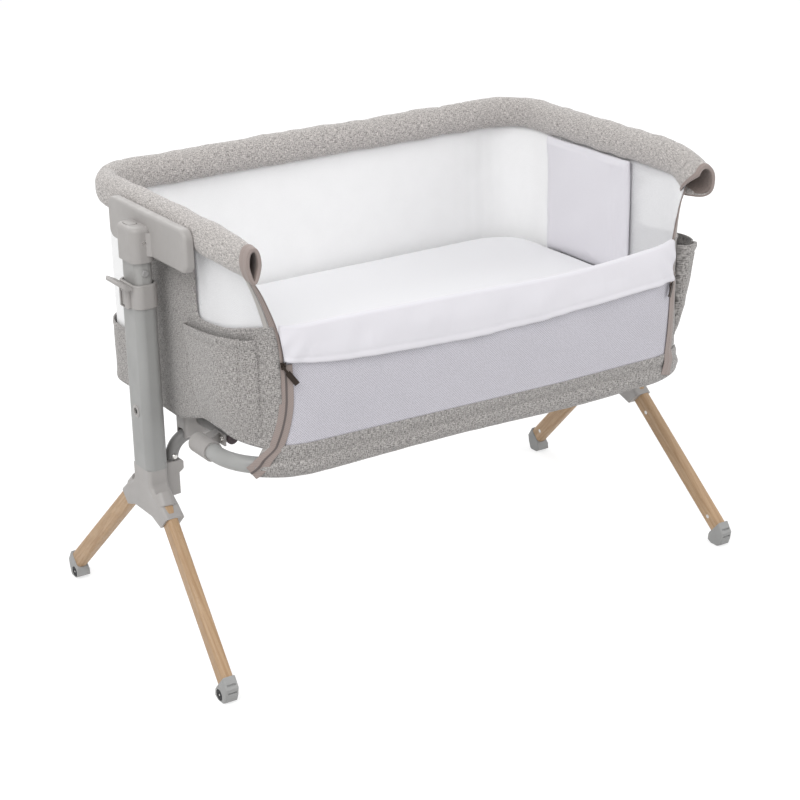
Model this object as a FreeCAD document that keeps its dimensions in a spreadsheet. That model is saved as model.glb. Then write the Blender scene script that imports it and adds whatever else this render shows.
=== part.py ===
import FreeCAD, Part
import Sketcher
import math
import os
import re

from FreeCAD import Placement, Rotation, Vector

# Bedside sleeper crib, with its front side let down for use beside a bed.
# Frame: X runs along the length, the open front faces -Y, Z is up.
# The origin lies on the floor under the middle of the crib. Millimetres.

doc = FreeCAD.newDocument("bedside_crib")
sheet = doc.addObject("Spreadsheet::Sheet", "Dims")

DIMENSIONS = [
    # stand: two posts on splayed beech legs
    ("post_x", 443, "middle of a column from the middle of the crib"),
    ("column_deep", 35, "column section along X"),
    ("column_wide", 3.8, "column section along Y, more than the inner tube's"),
    ("column_corner", 12, "corner radius of the column section"),
    ("column_wall", 1.6, "wall of the column"),
    ("column_foot", 277, "height of the column's lower end"),
    ("column_head", 14.5, "column's upper end above the latch tooth"),
    ("sight_height", 90, "sight hole above the column's lower end"),
    ("sight_bore", 16, "bore of the sight hole"),
    ("eyelet_rim", 1.2, "rim of the sight hole's eyelet, and how far it stands out"),
    ("collar_wall", 2.8, "wall of the collar round the column"),
    ("collar_foot", -12.5, "collar's lower edge from the latch tooth"),
    ("collar_head", 24.5, "collar's upper edge above the latch tooth"),
    ("housing_out", 6.2, "how far the latch housing stands out of the collar"),
    ("housing_wide", 28, "latch housing along Y"),
    ("housing_head", 18.5, "latch housing's top above the latch tooth"),
    ("slot_wide", 12.4, "latch slot along Y"),
    ("slot_foot", -10, "latch slot's lower end from the latch tooth"),
    ("pin_bore", 3, "hinge pins and roller axles"),
    ("spigot_long", 28, "socket spigot inside the column"),
    ("socket_deep", 32, "leg socket along X"),
    ("socket_wide", -1.4, "leg socket's neck along Y, more than the column"),
    ("neck_foot", -27, "where the neck opens into the shoulders, from the column's lower end"),
    ("crotch_height", -71, "arch between the legs, from the column's lower end"),
    ("leg_deep", 18, "leg section along X"),
    ("leg_thick", 28, "leg section across its own slope"),
    ("leg_corner", 6, "corner radius of the leg section"),
    ("leg_top_x", 446, "leg axis at the socket's mouth"),
    ("leg_top_y", 50, "leg axis at the socket's mouth"),
    ("leg_top_z", -56, "leg axis at the socket's mouth, from the column's lower end"),
    ("leg_foot_x", 465, "leg axis at the foot cap's mouth"),
    ("leg_foot_y", 252, "leg axis at the foot cap's mouth"),
    ("leg_foot_z", 29.5, "leg axis at the foot cap's mouth"),
    ("leg_in_socket", 14, "leg held inside the socket"),
    ("leg_in_cap", 5, "leg held inside the foot cap"),
    ("leg_fit", 0.2, "clearance round the leg in its socket and cap"),
    ("cap_wall", 2, "wall of the foot cap"),
    ("roller_wide", 6, "width of a roller"),
    ("roller_size", 16, "diameter of a roller"),
    ("roller_lift", 1, "roller clear of the floor while the cap stands on it"),
    ("screw_head", 6.6, "leg screw's head"),
    ("screw_shank", 3.4, "leg screw's shank"),
    ("screw_long", 12, "leg screw's length"),
    # cross tube between the sockets
    ("cross_size", 20, "cross tube's diameter"),
    ("cross_wall", 1.5, "cross tube's wall"),
    ("cross_x", 408, "riser of the cross tube from the middle"),
    ("cross_height", 36, "cross tube's axis above the column's lower end"),
    ("cross_bend", 34, "bend radius of the cross tube"),
    ("cross_foot", -41, "riser's lower end, from the column's"),
    ("bracket_head", 1.6, "bracket's top, from the column's lower end"),
    ("bracket_lip", -15, "underside of the bracket's lip, from the column's lower end"),
    ("bracket_foot", -54, "bracket's lower end, from the column's"),
    ("bracket_wide", 28, "bracket along Y"),
    # telescopic posts
    ("tube_deep", 28, "inner tube along X"),
    ("tube_wide", 53.2, "inner tube along Y"),
    ("tube_corner", 10, "corner radius of the inner tube"),
    ("tube_wall", 1.5, "wall of the inner tube"),
    ("tube_foot", 28.3, "inner tube's lower end above the column's, crib lowest"),
    ("tube_head", -18, "inner tube's upper end, from the top rail, crib lowest"),
    ("index_pitch", 25, "step between height holes"),
    ("index_count", 6, "height holes"),
    ("index_bore", 9, "height hole"),
    ("latch_height", -116, "latch tooth, from the top rail"),
    ("button_height", 41, "snap button above the latch tooth"),
    ("button_size", 11, "snap button's diameter"),
    ("button_out", 1.8, "snap button out of the tube"),
    ("tilt_height", -29, "tilt pin, from the top rail"),
    ("tilt_pin", 6, "diameter of the tilt pin"),
    # cap and plate, one moulding at each end
    ("head_deep", 38, "post cap along X"),
    ("head_wide", 6.8, "post cap along Y, more than the inner tube"),
    ("head_corner", 14, "corner radius of the post cap"),
    ("head_foot", -58.5, "post cap's lower edge, from the top rail"),
    ("head_top", -6, "post cap's crown, from the top rail"),
    ("head_play", 2.2, "play along X between the post cap and the inner tube"),
    ("plate_thick", 15, "plate along X"),
    ("plate_front", 143, "plate reaches this far to the front"),
    ("plate_back", 106, "plate reaches this far to the back"),
    ("plate_foot", -51, "plate's lower edge, from the top rail"),
    ("plate_head", 13, "plate's upper edge above the top rail"),
    ("plate_corner", 16, "corner radius of the plate"),
    # top rail
    ("rail_x", 401, "top rail's axis at the ends of the crib"),
    ("rail_back", 237, "top rail's axis at the back"),
    ("rail_height", 659, "height of the top rail's axis"),
    ("rail_bend", 75, "bend radius of the top rail"),
    ("rail_size", 25, "diameter of the rail tubes"),
    ("rail_wall", 1.5, "wall of the rail tubes"),
    ("rail_end", 132, "top rail tube ends this far to the front"),
    ("sleeve_deep", 38, "padded sleeve across the rail"),
    ("sleeve_high", 50, "padded sleeve's height"),
    ("sleeve_end", 262, "padded sleeve ends this far to the front"),
    ("sleeve_play", 0.5, "clearance between a sleeve and its tube"),
    # lower front bar, its sockets and the base frame
    ("bar_x", 405, "arms of the lower front bar"),
    ("bar_front", 246, "front run of the lower front bar"),
    ("bar_height", -4, "lower front bar's axis from the base frame's"),
    ("bar_bend", 100, "bend radius of the lower front bar"),
    ("bar_end", 94, "end of the bar's arms inside their sockets"),
    ("holder_size", 30.5, "bar socket's diameter"),
    ("holder_front", 134, "mouth of the bar socket"),
    ("holder_back", 86, "closed end of the bar socket"),
    ("base_size", 19, "base frame tube's diameter"),
    ("base_x", 361, "side runs of the base frame"),
    ("base_back", 214, "back run of the base frame"),
    ("base_front", 112, "front ends of the base frame"),
    ("base_height", 24, "base frame's axis above the cross tube's"),
    ("base_bend", 60, "bend radius of the base frame"),
    ("saddle_long", 52, "saddle along X"),
    ("saddle_x", 364, "middle of the saddle"),
    ("saddle_wide", 34, "saddle along Y"),
    ("saddle_wall", 2.6, "wall of the saddle"),
    # bed
    ("cloth", 1.6, "thickness of the sewn cloth panels"),
    ("cloth_gap", 0.4, "gap between layers of cloth"),
    ("wall_x", 402, "outer face of the end panels"),
    ("wall_back", 243, "outer face of the back panel"),
    ("wall_front", 261, "outer face of the front panel"),
    ("wall_back_bend", 72, "corner radius at the back"),
    ("wall_front_bend", 96, "corner radius at the front"),
    ("wall_foot", 13, "lower edge of the end panels above the base frame's axis"),
    ("wall_head", -25, "upper edge of the end panels, from the top rail"),
    ("board_thick", 18, "base board"),
    ("mattress_head", 6, "crown of the mattress above its edge"),
    ("mattress_edge", 96, "edge of the mattress's top above the panels' foot"),
    ("mattress_gap", 6, "mattress clear of the walls"),
    ("seam_height", 34, "seam between the front band and the mesh, above the front bar"),
    ("band_foot", -15, "lower edge of the front band, from the front bar"),
    ("back_band_head", 95, "upper edge of the back band above the panels' foot"),
    ("end_panel_head", -6, "upper edge of the end panel beside its stay, from the fold line"),
    ("stay_half", 100, "half width of the end panel's middle stay"),
    ("front_head", 177, "fold line of the lowered front above the band's seam"),
    ("flap_foot", -68, "lower edge of the folded-over flap from its fold"),
    ("zip_x", 344, "zip from the middle, at the front"),
    ("zip_wide", 18, "width of the closed zip"),
    ("slider_height", -50, "zip slider from the fold line of the front"),
    ("pocket_turn", 42, "degrees that the end pocket goes round the front corner"),
    ("pocket_back", 70, "back edge of the end pocket"),
    ("pocket_foot", 32, "lower edge of the end pocket above the panel's"),
    ("pocket_head", -6, "upper edge of the end pocket, from the panel's"),
    ("pocket_deep", 10, "room in the end pocket"),
    ("inner_flap_wide", 245, "padded flap inside the right end, along Y"),
    ("inner_flap_y", 34, "middle of the padded flap"),
    ("apart", 0.3, "clearance between neighbours that do not touch"),
]

for row, (alias, number, note) in enumerate(DIMENSIONS, start=1):
    sheet.set(f"A{row}", alias)
    sheet.set(f"B{row}", str(number))
    sheet.set(f"C{row}", note)
    sheet.setAlias(f"B{row}", alias)
doc.recompute()

# Sizes that are measured from another one, so that neighbours keep together.
MEASURED_FROM = {
    "column_foot":
        "neck_foot crotch_height leg_top_z sight_height bracket_head bracket_lip "
        "bracket_foot cross_foot cross_height tube_foot",
    "cross_height":
        "base_height",
    "base_height":
        "bar_height wall_foot",
    "bar_height":
        "seam_height band_foot",
    "wall_foot":
        "pocket_foot back_band_head mattress_edge",
    "mattress_edge":
        "mattress_head",
    "seam_height":
        "front_head",
    "front_head":
        "flap_foot slider_height end_panel_head",
    "end_panel_head":
        "pocket_head",
    "rail_height":
        "wall_head plate_foot plate_head head_foot head_top tilt_height tube_head "
        "latch_height",
    "latch_height":
        "column_head collar_foot collar_head housing_head slot_foot button_height",
    "tube_wide":
        "column_wide head_wide",
    "column_wide":
        "socket_wide",
}
START_OF = {word: start for start, words in MEASURED_FROM.items() for word in words.split()}

ALIASES = {alias for alias, number, note in DIMENSIONS}


def spelled(word):
    """Reference to a size of the sheet, added to the one that it is measured from."""
    if word in START_OF:
        return f"({spelled(START_OF[word])} + Dims.{word})"
    return "Dims." + word


def bound(text):
    """Turn words of the sheet into references that a property can hold."""
    return re.sub(r"[a-z_]+", lambda m: spelled(m[0]) if m[0] in ALIASES else m[0], str(text))


def size(text):
    """Value of an expression over the sheet."""
    if isinstance(text, (int, float)):
        return float(text)
    answer = sheet.evalExpression(bound(text))
    return float(getattr(answer, "Value", answer))


def bind(thing, name, text):
    thing.setExpression(name, bound(text))


def place(thing, x=0, y=0, z=0, turn=None):
    """Put a sub-part at a place bound to the sheet, turned first if asked."""
    if turn is not None:
        thing.Placement = Placement(Vector(), turn)
    bind(thing, "Placement.Base.x", x)
    bind(thing, "Placement.Base.y", y)
    bind(thing, "Placement.Base.z", z)
    return thing


# ---------------------------------------------------------------- sketches

PLANES = {"XY": "XY_Plane", "XZ": "XZ_Plane", "YZ": "YZ_Plane"}


def new_body(label):
    body = doc.addObject("PartDesign::Body", label)
    body.Label = label
    return body


def sketch_on(body, plane, offset=0):
    """Sketch on one of the body's own planes, moved along the plane's normal."""
    drawing = body.newObject("Sketcher::SketchObject", body.Name + "_sketch")
    base = next(o for o in body.Origin.OriginFeatures if o.Role == PLANES[plane])
    drawing.AttachmentSupport = [(base, "")]
    drawing.MapMode = "FlatFace"
    bind(drawing, "AttachmentOffset.Base.z", offset)
    return drawing


def pin_point(drawing, geometry, point, x=None, y=None):
    """Hold one point of a sketch at a distance from the origin on each axis given."""
    for kind, text in (("DistanceX", x), ("DistanceY", y)):
        if text is None:
            continue
        number = drawing.addConstraint(Sketcher.Constraint(kind, -1, 1, geometry, point, size(text)))
        if not isinstance(text, (int, float)):
            bind(drawing, f"Constraints[{number}]", text)


def circle(drawing, diameter, x=0, y=0):
    number = drawing.addGeometry(Part.Circle(Vector(size(x), size(y), 0), Vector(0, 0, 1), size(diameter) / 2))
    pin_point(drawing, number, 3, x, y)
    held = drawing.addConstraint(Sketcher.Constraint("Diameter", number, size(diameter)))
    bind(drawing, f"Constraints[{held}]", diameter)


def polygon(drawing, corners, closed=True):
    """Straight-sided outline, each corner held by its own pair of distances."""
    spots = [Vector(size(x), size(y), 0) for x, y in corners]
    count = len(spots)
    edges = count if closed else count - 1
    first = drawing.GeometryCount
    for i in range(edges):
        drawing.addGeometry(Part.LineSegment(spots[i], spots[(i + 1) % count]))
    for i in range(edges - (0 if closed else 1)):
        drawing.addConstraint(
            Sketcher.Constraint("Coincident", first + i, 2, first + (i + 1) % edges, 1))
    for i, (x, y) in enumerate(corners):
        edge, point = (first + i, 1) if i < edges else (first + i - 1, 2)
        pin_point(drawing, edge, point, x, y)


def box_outline(drawing, wide, high, x=0, y=0):
    left, right = f"({x}) - ({wide}) / 2", f"({x}) + ({wide}) / 2"
    low, top = f"({y}) - ({high}) / 2", f"({y}) + ({high}) / 2"
    polygon(drawing, [(left, low), (right, low), (right, top), (left, top)])


def soft_box(drawing, wide, high, corner, x=0, y=0):
    """Rectangle with round corners, centred on (x, y)."""
    w, h, r, cx, cy = (size(t) for t in (wide, high, corner, x, y))
    first = drawing.GeometryCount
    right, left, top, low = cx + w / 2, cx - w / 2, cy + h / 2, cy - h / 2
    quarter = math.pi / 2
    line = lambda a, b, c, d: drawing.addGeometry(Part.LineSegment(Vector(a, b, 0), Vector(c, d, 0)))
    bend = lambda a, b, n: drawing.addGeometry(
        Part.ArcOfCircle(Part.Circle(Vector(a, b, 0), Vector(0, 0, 1), r), n * quarter, (n + 1) * quarter))
    line(left + r, low, right - r, low)
    bend(right - r, low + r, 3)
    line(right, low + r, right, top - r)
    bend(right - r, top - r, 0)
    line(right - r, top, left + r, top)
    bend(left + r, top - r, 1)
    line(left, top - r, left, low + r)
    bend(left + r, low + r, 2)
    for i in range(8):
        ahead = first + (i + 1) % 8
        drawing.addConstraint(Sketcher.Constraint("Tangent", first + i, 2, ahead, 1))
    for i, way in ((0, "Horizontal"), (4, "Horizontal"), (2, "Vertical"), (6, "Vertical")):
        drawing.addConstraint(Sketcher.Constraint(way, first + i))
    for i in (3, 5, 7):
        drawing.addConstraint(Sketcher.Constraint("Equal", first + 1, first + i))
    held = [
        (Sketcher.Constraint("Radius", first + 1, r), corner),
        (Sketcher.Constraint("DistanceX", first + 6, 1, first + 2, 1, w), wide),
        (Sketcher.Constraint("DistanceY", first, 1, first + 4, 2, h), high),
        (Sketcher.Constraint("DistanceX", -1, 1, first + 2, 1, right), f"({x}) + ({wide}) / 2"),
        (Sketcher.Constraint("DistanceY", -1, 1, first + 4, 1, top), f"({y}) + ({high}) / 2"),
    ]
    for constraint, text in held:
        number = drawing.addConstraint(constraint)
        bind(drawing, f"Constraints[{number}]", text)


def half_loop(drawing, run, reach, corner, end=None, sweep=90):
    """Spine from the middle: a run at height `run`, a bend, and an arm at `reach`.

    The bend turns by `sweep` degrees towards `end`; a quarter bend may go on
    as a straight arm to `end`.
    """
    a, b, r = size(run), size(reach), size(corner)
    down = size(end) < a if end is not None else a > 0
    way = -1 if down else 1
    angle = math.radians(sweep)
    middle = Vector(b - r, a + way * r, 0)
    bend_start = Vector(b - r, a, 0)
    bend_end = middle + Vector(r * math.sin(angle), -way * r * math.cos(angle), 0)
    half = middle + Vector(r * math.sin(angle / 2), -way * r * math.cos(angle / 2), 0)
    drawing.addGeometry(Part.LineSegment(Vector(0, a, 0), bend_start))
    drawing.addGeometry(Part.Arc(bend_start, half, bend_end))
    start, stop = (1, 2) if way > 0 else (2, 1)
    drawing.addConstraint(Sketcher.Constraint("Coincident", 0, 2, 1, start))
    pin_point(drawing, 0, 1, 0, run)
    pin_point(drawing, 0, 2, f"({reach}) - ({corner})", run)
    pin_point(drawing, 1, 3, f"({reach}) - ({corner})", f"({run}) + ({way}) * ({corner})")
    if end is None:
        pin_point(drawing, 1, stop, x=f"({reach}) - ({corner}) * (1 - sin({sweep}))")
        return ["Edge1", "Edge2"]
    drawing.addGeometry(Part.LineSegment(bend_end, Vector(b, size(end), 0)))
    drawing.addConstraint(Sketcher.Constraint("Coincident", 1, stop, 2, 1))
    pin_point(drawing, 2, 1, y=f"({run}) + ({way}) * ({corner})")
    pin_point(drawing, 2, 2, reach, end)
    return ["Edge1", "Edge2", "Edge3"]


# ---------------------------------------------------------------- features

def pad(body, drawing, length, middle=False, back=False):
    feature = body.newObject("PartDesign::Pad", body.Name + "_pad")
    feature.Profile = drawing
    feature.Midplane = middle
    feature.Reversed = back
    bind(feature, "Length", length)
    doc.recompute()
    return feature


def pocket(body, drawing, length, back=False, middle=False):
    """Cut along the sketch's normal, and make sure that it took something away."""
    before = body.Shape.Volume
    feature = body.newObject("PartDesign::Pocket", body.Name + "_pocket")
    feature.Profile = drawing
    feature.Reversed = back
    feature.Midplane = middle
    bind(feature, "Length", length)
    doc.recompute()
    if body.Shape.Volume >= before:
        raise RuntimeError(f"a pocket of {body.Label} cuts nothing")
    return feature


def edges_where(shape, test):
    return [f"Edge{i}" for i, edge in enumerate(shape.Edges, start=1) if test(edge)]


def rounded(body, radius, test, kind="Fillet"):
    """Fillet or chamfer the edges of the body's tip that pass a test."""
    base = body.Tip
    names = edges_where(base.Shape, test)
    if not names:
        raise RuntimeError(f"no edge of {body.Label} to round")
    feature = body.newObject("PartDesign::" + kind, body.Name + "_edge")
    feature.Base = (base, names)
    bind(feature, "Size" if kind == "Chamfer" else "Radius", radius)
    doc.recompute()
    return feature


def level(edge, height, slack=0.01):
    box = edge.BoundBox
    return abs(box.ZMin - height) < slack and abs(box.ZMax - height) < slack


def swept(body, spine, edges, profile, mirror="YZ"):
    """Carry a profile along a spine and mirror it to the other half."""
    pipe = body.newObject("PartDesign::AdditivePipe", body.Name + "_pipe")
    pipe.Profile = profile
    pipe.Spine = (spine, edges)
    pipe.Transition = "Transformed"
    doc.recompute()
    if mirror:
        both = body.newObject("PartDesign::Mirrored", body.Name + "_mirror")
        both.Originals = [pipe]
        plane = next(o for o in body.Origin.OriginFeatures if o.Role == PLANES[mirror])
        both.MirrorPlane = (plane, [""])
        body.Tip = both
        doc.recompute()
    return body


def mirrored(source, label, normal):
    """The same piece on the other side of the crib."""
    other = doc.addObject("Part::Mirroring", label)
    other.Source = source
    other.Normal = normal
    other.Base = Vector()
    other.Label = label
    doc.recompute()
    return other


ACROSS = Vector(1, 0, 0)
ALONG = Vector(0, 1, 0)


def cut(label, base, *tools):
    """Base less its tools."""
    tool = tools[0]
    if len(tools) > 1:
        tool = doc.addObject("Part::MultiFuse", label + "_tools")
        tool.Shapes = list(tools)
    result = doc.addObject("Part::Cut", label)
    result.Base = base
    result.Tool = tool
    result.Label = label
    doc.recompute()
    return result


def fuse(label, *pieces):
    result = doc.addObject("Part::MultiFuse", label)
    result.Shapes = list(pieces)
    result.Refine = True
    result.Label = label
    doc.recompute()
    return result


def common(label, first, second):
    """What two shapes share."""
    result = doc.addObject("Part::Common", label)
    result.Base = first
    result.Tool = second
    doc.recompute()
    return result


def group(label, *pieces):
    result = doc.addObject("Part::Compound", label)
    result.Links = list(pieces)
    result.Label = label
    doc.recompute()
    return result


def rod(label, diameter, length, x, y, z, axis):
    """Plain cylinder from (x, y, z) along an axis."""
    piece = doc.addObject("Part::Cylinder", label)
    piece.Label = label
    bind(piece, "Radius", f"({diameter}) / 2")
    bind(piece, "Height", length)
    return place(piece, x, y, z, Rotation(Vector(0, 0, 1), axis))


def block(label, deep, wide, high, x, y, z):
    """Plain box whose middle lies over (x, y) and whose foot is at z."""
    piece = doc.addObject("Part::Box", label)
    piece.Label = label
    bind(piece, "Length", deep)
    bind(piece, "Width", wide)
    bind(piece, "Height", high)
    return place(piece, f"({x}) - ({deep}) / 2", f"({y}) - ({wide}) / 2", z)


def bar(label, wide, high, corner, length):
    """Straight bar of a round-cornered section along its own +Z."""
    body = new_body(label)
    outline = sketch_on(body, "XY")
    soft_box(outline, wide, high, corner)
    pad(body, outline, length)
    return body


PARTS = []


def keep(*pieces):
    PARTS.extend(pieces)
    return pieces[0]


# ---------------------------------------------------------------- columns

def column():
    """Outer tube of one end: round-cornered section, sight hole, latch window."""
    body = new_body("column_left")
    section = sketch_on(body, "XY")
    soft_box(section, "column_deep", "column_wide", "column_corner")
    soft_box(section, "column_deep - 2 * column_wall", "column_wide - 2 * column_wall",
             "column_corner - column_wall")
    pad(body, section, "column_head - column_foot")
    sight = sketch_on(body, "YZ")
    circle(sight, "sight_bore", 0, "sight_height - column_foot")
    pocket(body, sight, "column_deep")
    window = sketch_on(body, "YZ")
    box_outline(window, "slot_wide - 2", 16, 0, "latch_height - column_foot - 0.5")
    pocket(body, window, "column_deep")
    return place(body, "-post_x", 0, "column_foot")


def eyelet():
    """Moulded ring pressed into the sight hole."""
    body = new_body("eyelet")
    ring = sketch_on(body, "XZ")
    bore, outer = "sight_bore / 2 - 2.5", "sight_bore / 2 - 0.05"
    rim = "sight_bore / 2 + 2"
    polygon(ring, [(bore, "0.2 - column_wall"), (outer, "0.2 - column_wall"), (outer, 0), (rim, 0),
                   (rim, "eyelet_rim / 2"), ("sight_bore / 2", "eyelet_rim"), (bore, "eyelet_rim")])
    turned = body.newObject("PartDesign::Revolution", "eyelet_turned")
    turned.Profile = ring
    turned.ReferenceAxis = (ring, ["V_Axis"])
    turned.Angle = 360
    doc.recompute()
    return place(body, "-post_x - column_deep / 2", 0, "sight_height",
                 Rotation(Vector(0, 1, 0), -90))


HINGE_OUT = "column_deep / 2 + collar_wall + 2.2"
HINGE_HEIGHT = "housing_head - 4"


def collar():
    """Moulded ring that closes the column's head and houses the height latch."""
    body = new_body("collar_left")
    ring = sketch_on(body, "XY")
    soft_box(ring, "column_deep + 2 * collar_wall", "column_wide + 2 * collar_wall",
             "column_corner + collar_wall")
    pad(body, ring, "collar_head - collar_foot")
    rounded(body, 2, lambda e: level(e, size("collar_head - collar_foot")))
    housing = sketch_on(body, "XY")
    out = "column_deep / 2 + collar_wall"
    soft_box(housing, "housing_out + 8", "housing_wide", 5, f"-({out}) - (housing_out - 8) / 2")
    pad(body, housing, "housing_head - collar_foot")
    rounded(body, 2, lambda e: level(e, 0), "Chamfer")
    cavity = sketch_on(body, "XY")
    soft_box(cavity, "column_deep + apart", "column_wide + apart", "column_corner + apart / 2")
    pocket(body, cavity, "column_head - collar_foot", back=True)
    mouth = sketch_on(body, "XY")
    soft_box(mouth, "tube_deep + 2 * head_play", "tube_wide + 2 * apart", "tube_corner + apart")
    pocket(body, mouth, "collar_head - collar_foot + 1", back=True)
    slot = sketch_on(body, "XZ")
    box_outline(slot, "housing_out + collar_wall + 4", "housing_head + 4 - slot_foot",
                f"-({out}) - (housing_out - collar_wall) / 2",
                "(slot_foot + housing_head + 4) / 2 - collar_foot")
    pocket(body, slot, "slot_wide", middle=True)
    hinge = sketch_on(body, "XZ")
    circle(hinge, "pin_bore", f"-({HINGE_OUT})", f"{HINGE_HEIGHT} - collar_foot")
    pocket(body, hinge, "housing_wide - 2", middle=True)
    return place(body, "-post_x", 0, "collar_foot")


def lever():
    """Paddle with a latch tooth: lifting the paddle draws the tooth out."""
    paddle = new_body("lever_paddle")
    face = f"-post_x - ({HINGE_OUT})"
    slope = sketch_on(paddle, "XZ")
    polygon(slope, [(face, "housing_head + 1"), (face, "collar_head"), (f"{face} - 3", "collar_head + 1.5"),
                    (f"{face} - 16", "collar_head + 8.5"), (f"{face} - 21", "collar_head + 8"),
                    (f"{face} - 20", "collar_head + 4"), (f"{face} - 8", "housing_head + 1")])
    pad(paddle, slope, 60, middle=True)
    rounded(paddle, 1.5, lambda e: e.CenterOfMass.z > size("collar_head + 2") and e.Length > 50)
    place(paddle, 0, 0, 0, Rotation())
    plan = bar("lever_plan", 48, 52, 13, 40)
    place(plan, f"{face} + 3", 0, "housing_head - 10", Rotation())
    paddle = common("lever_plate", paddle, plan)
    stem = new_body("lever_stem")
    side = sketch_on(stem, "XZ")
    polygon(side, [(f"{face} - 2.2", "slot_foot + 2"), (f"{face} + 1.8", "slot_foot + 2"),
                   (f"{face} + 1.8", "latch_height - 4"),
                   ("-post_x - tube_deep / 2 - 0.6", "latch_height - 3"),
                   ("-post_x - tube_deep / 2 - 0.6", "latch_height + 3"),
                   (f"{face} + 1.8", "latch_height + 4"),
                   (f"{face} + 1.8", "housing_head + 3"), (f"{face} - 2.2", "housing_head + 3")])
    pad(stem, side, "slot_wide - 3", middle=True)
    barrel = rod("lever_barrel", 7, "slot_wide - 1", face, "-(slot_wide - 1) / 2", HINGE_HEIGHT, ALONG)
    bore = rod("lever_bore", "pin_bore + 0.1", "slot_wide + 2", face, "-(slot_wide + 2) / 2",
               HINGE_HEIGHT, ALONG)
    whole = fuse("lever_whole", paddle, stem, barrel)
    return cut("lever_left", whole, bore)


def hinge_pin():
    return rod("hinge_pin", "pin_bore", "housing_wide - 2", f"-post_x - ({HINGE_OUT})",
               "-(housing_wide - 2) / 2", HINGE_HEIGHT, ALONG)


# ---------------------------------------------------------------- sockets and legs

def leg_frame(side_y):
    """Turn and start of a leg: its own +Z runs from the cap's mouth to the socket."""
    low = Vector(-size("leg_foot_x"), side_y * size("leg_foot_y"), size("leg_foot_z"))
    high = Vector(-size("leg_top_x"), side_y * size("leg_top_y"), size("leg_top_z"))
    along = (high - low).normalize()
    flat = (Vector(1, 0, 0) - along * along.x).normalize()
    turn = Rotation(flat, along.cross(flat), along, "ZXY")
    return low, along, turn, (high - low).Length


def along_leg(piece, side_y, start, shift=Vector()):
    """Put a piece on the leg's axis, `start` up from the cap's mouth."""
    low, along, turn, length = leg_frame(side_y)
    piece.Placement = Placement(low + along * size(start) + turn.multVec(shift), turn)
    return piece


LEG_RUN = leg_frame(-1)[3]
SCREW_PLACES = (22, LEG_RUN - 50, LEG_RUN - 18)


def leg():
    """Beech bar with countersunk holes for the screws on its inner face."""
    bar_body = bar("leg_bar", "leg_deep", "leg_thick", "leg_corner",
                   f"leg_in_cap + {LEG_RUN} + leg_in_socket")
    rounded(bar_body, 1.2, lambda e: level(e, size("leg_in_cap + leg_in_socket") + LEG_RUN), "Chamfer")
    along_leg(bar_body, -1, "-leg_in_cap")
    holes = [screw(f"hole_{i}", up, 0.06) for i, up in enumerate(SCREW_PLACES)]
    return cut("leg_front_left", bar_body, *holes)


def screw(label, up, wider=0):
    """Countersunk screw, turned about its own axis, driven in from the inner face."""
    body = new_body(label)
    half = sketch_on(body, "XZ")
    head, shank = f"screw_head / 2 + {wider}", f"screw_shank / 2 + {wider}"
    polygon(half, [(0, 0), (head, 0), (shank, f"-1.8 - {wider}"), (shank, f"-screw_long - {wider}"),
                   (0, f"-screw_long - {wider}")])
    turned = body.newObject("PartDesign::Revolution", label + "_turned")
    turned.Profile = half
    turned.ReferenceAxis = (half, ["V_Axis"])
    turned.Angle = 360
    doc.recompute()
    low, along, turn, length = leg_frame(-1)
    inward = turn.multVec(Vector(1, 0, 0))
    face = low + along * up + inward * (size("leg_deep") / 2)
    body.Placement = Placement(face, Rotation(Vector(0, 0, 1), inward))
    return body


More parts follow.
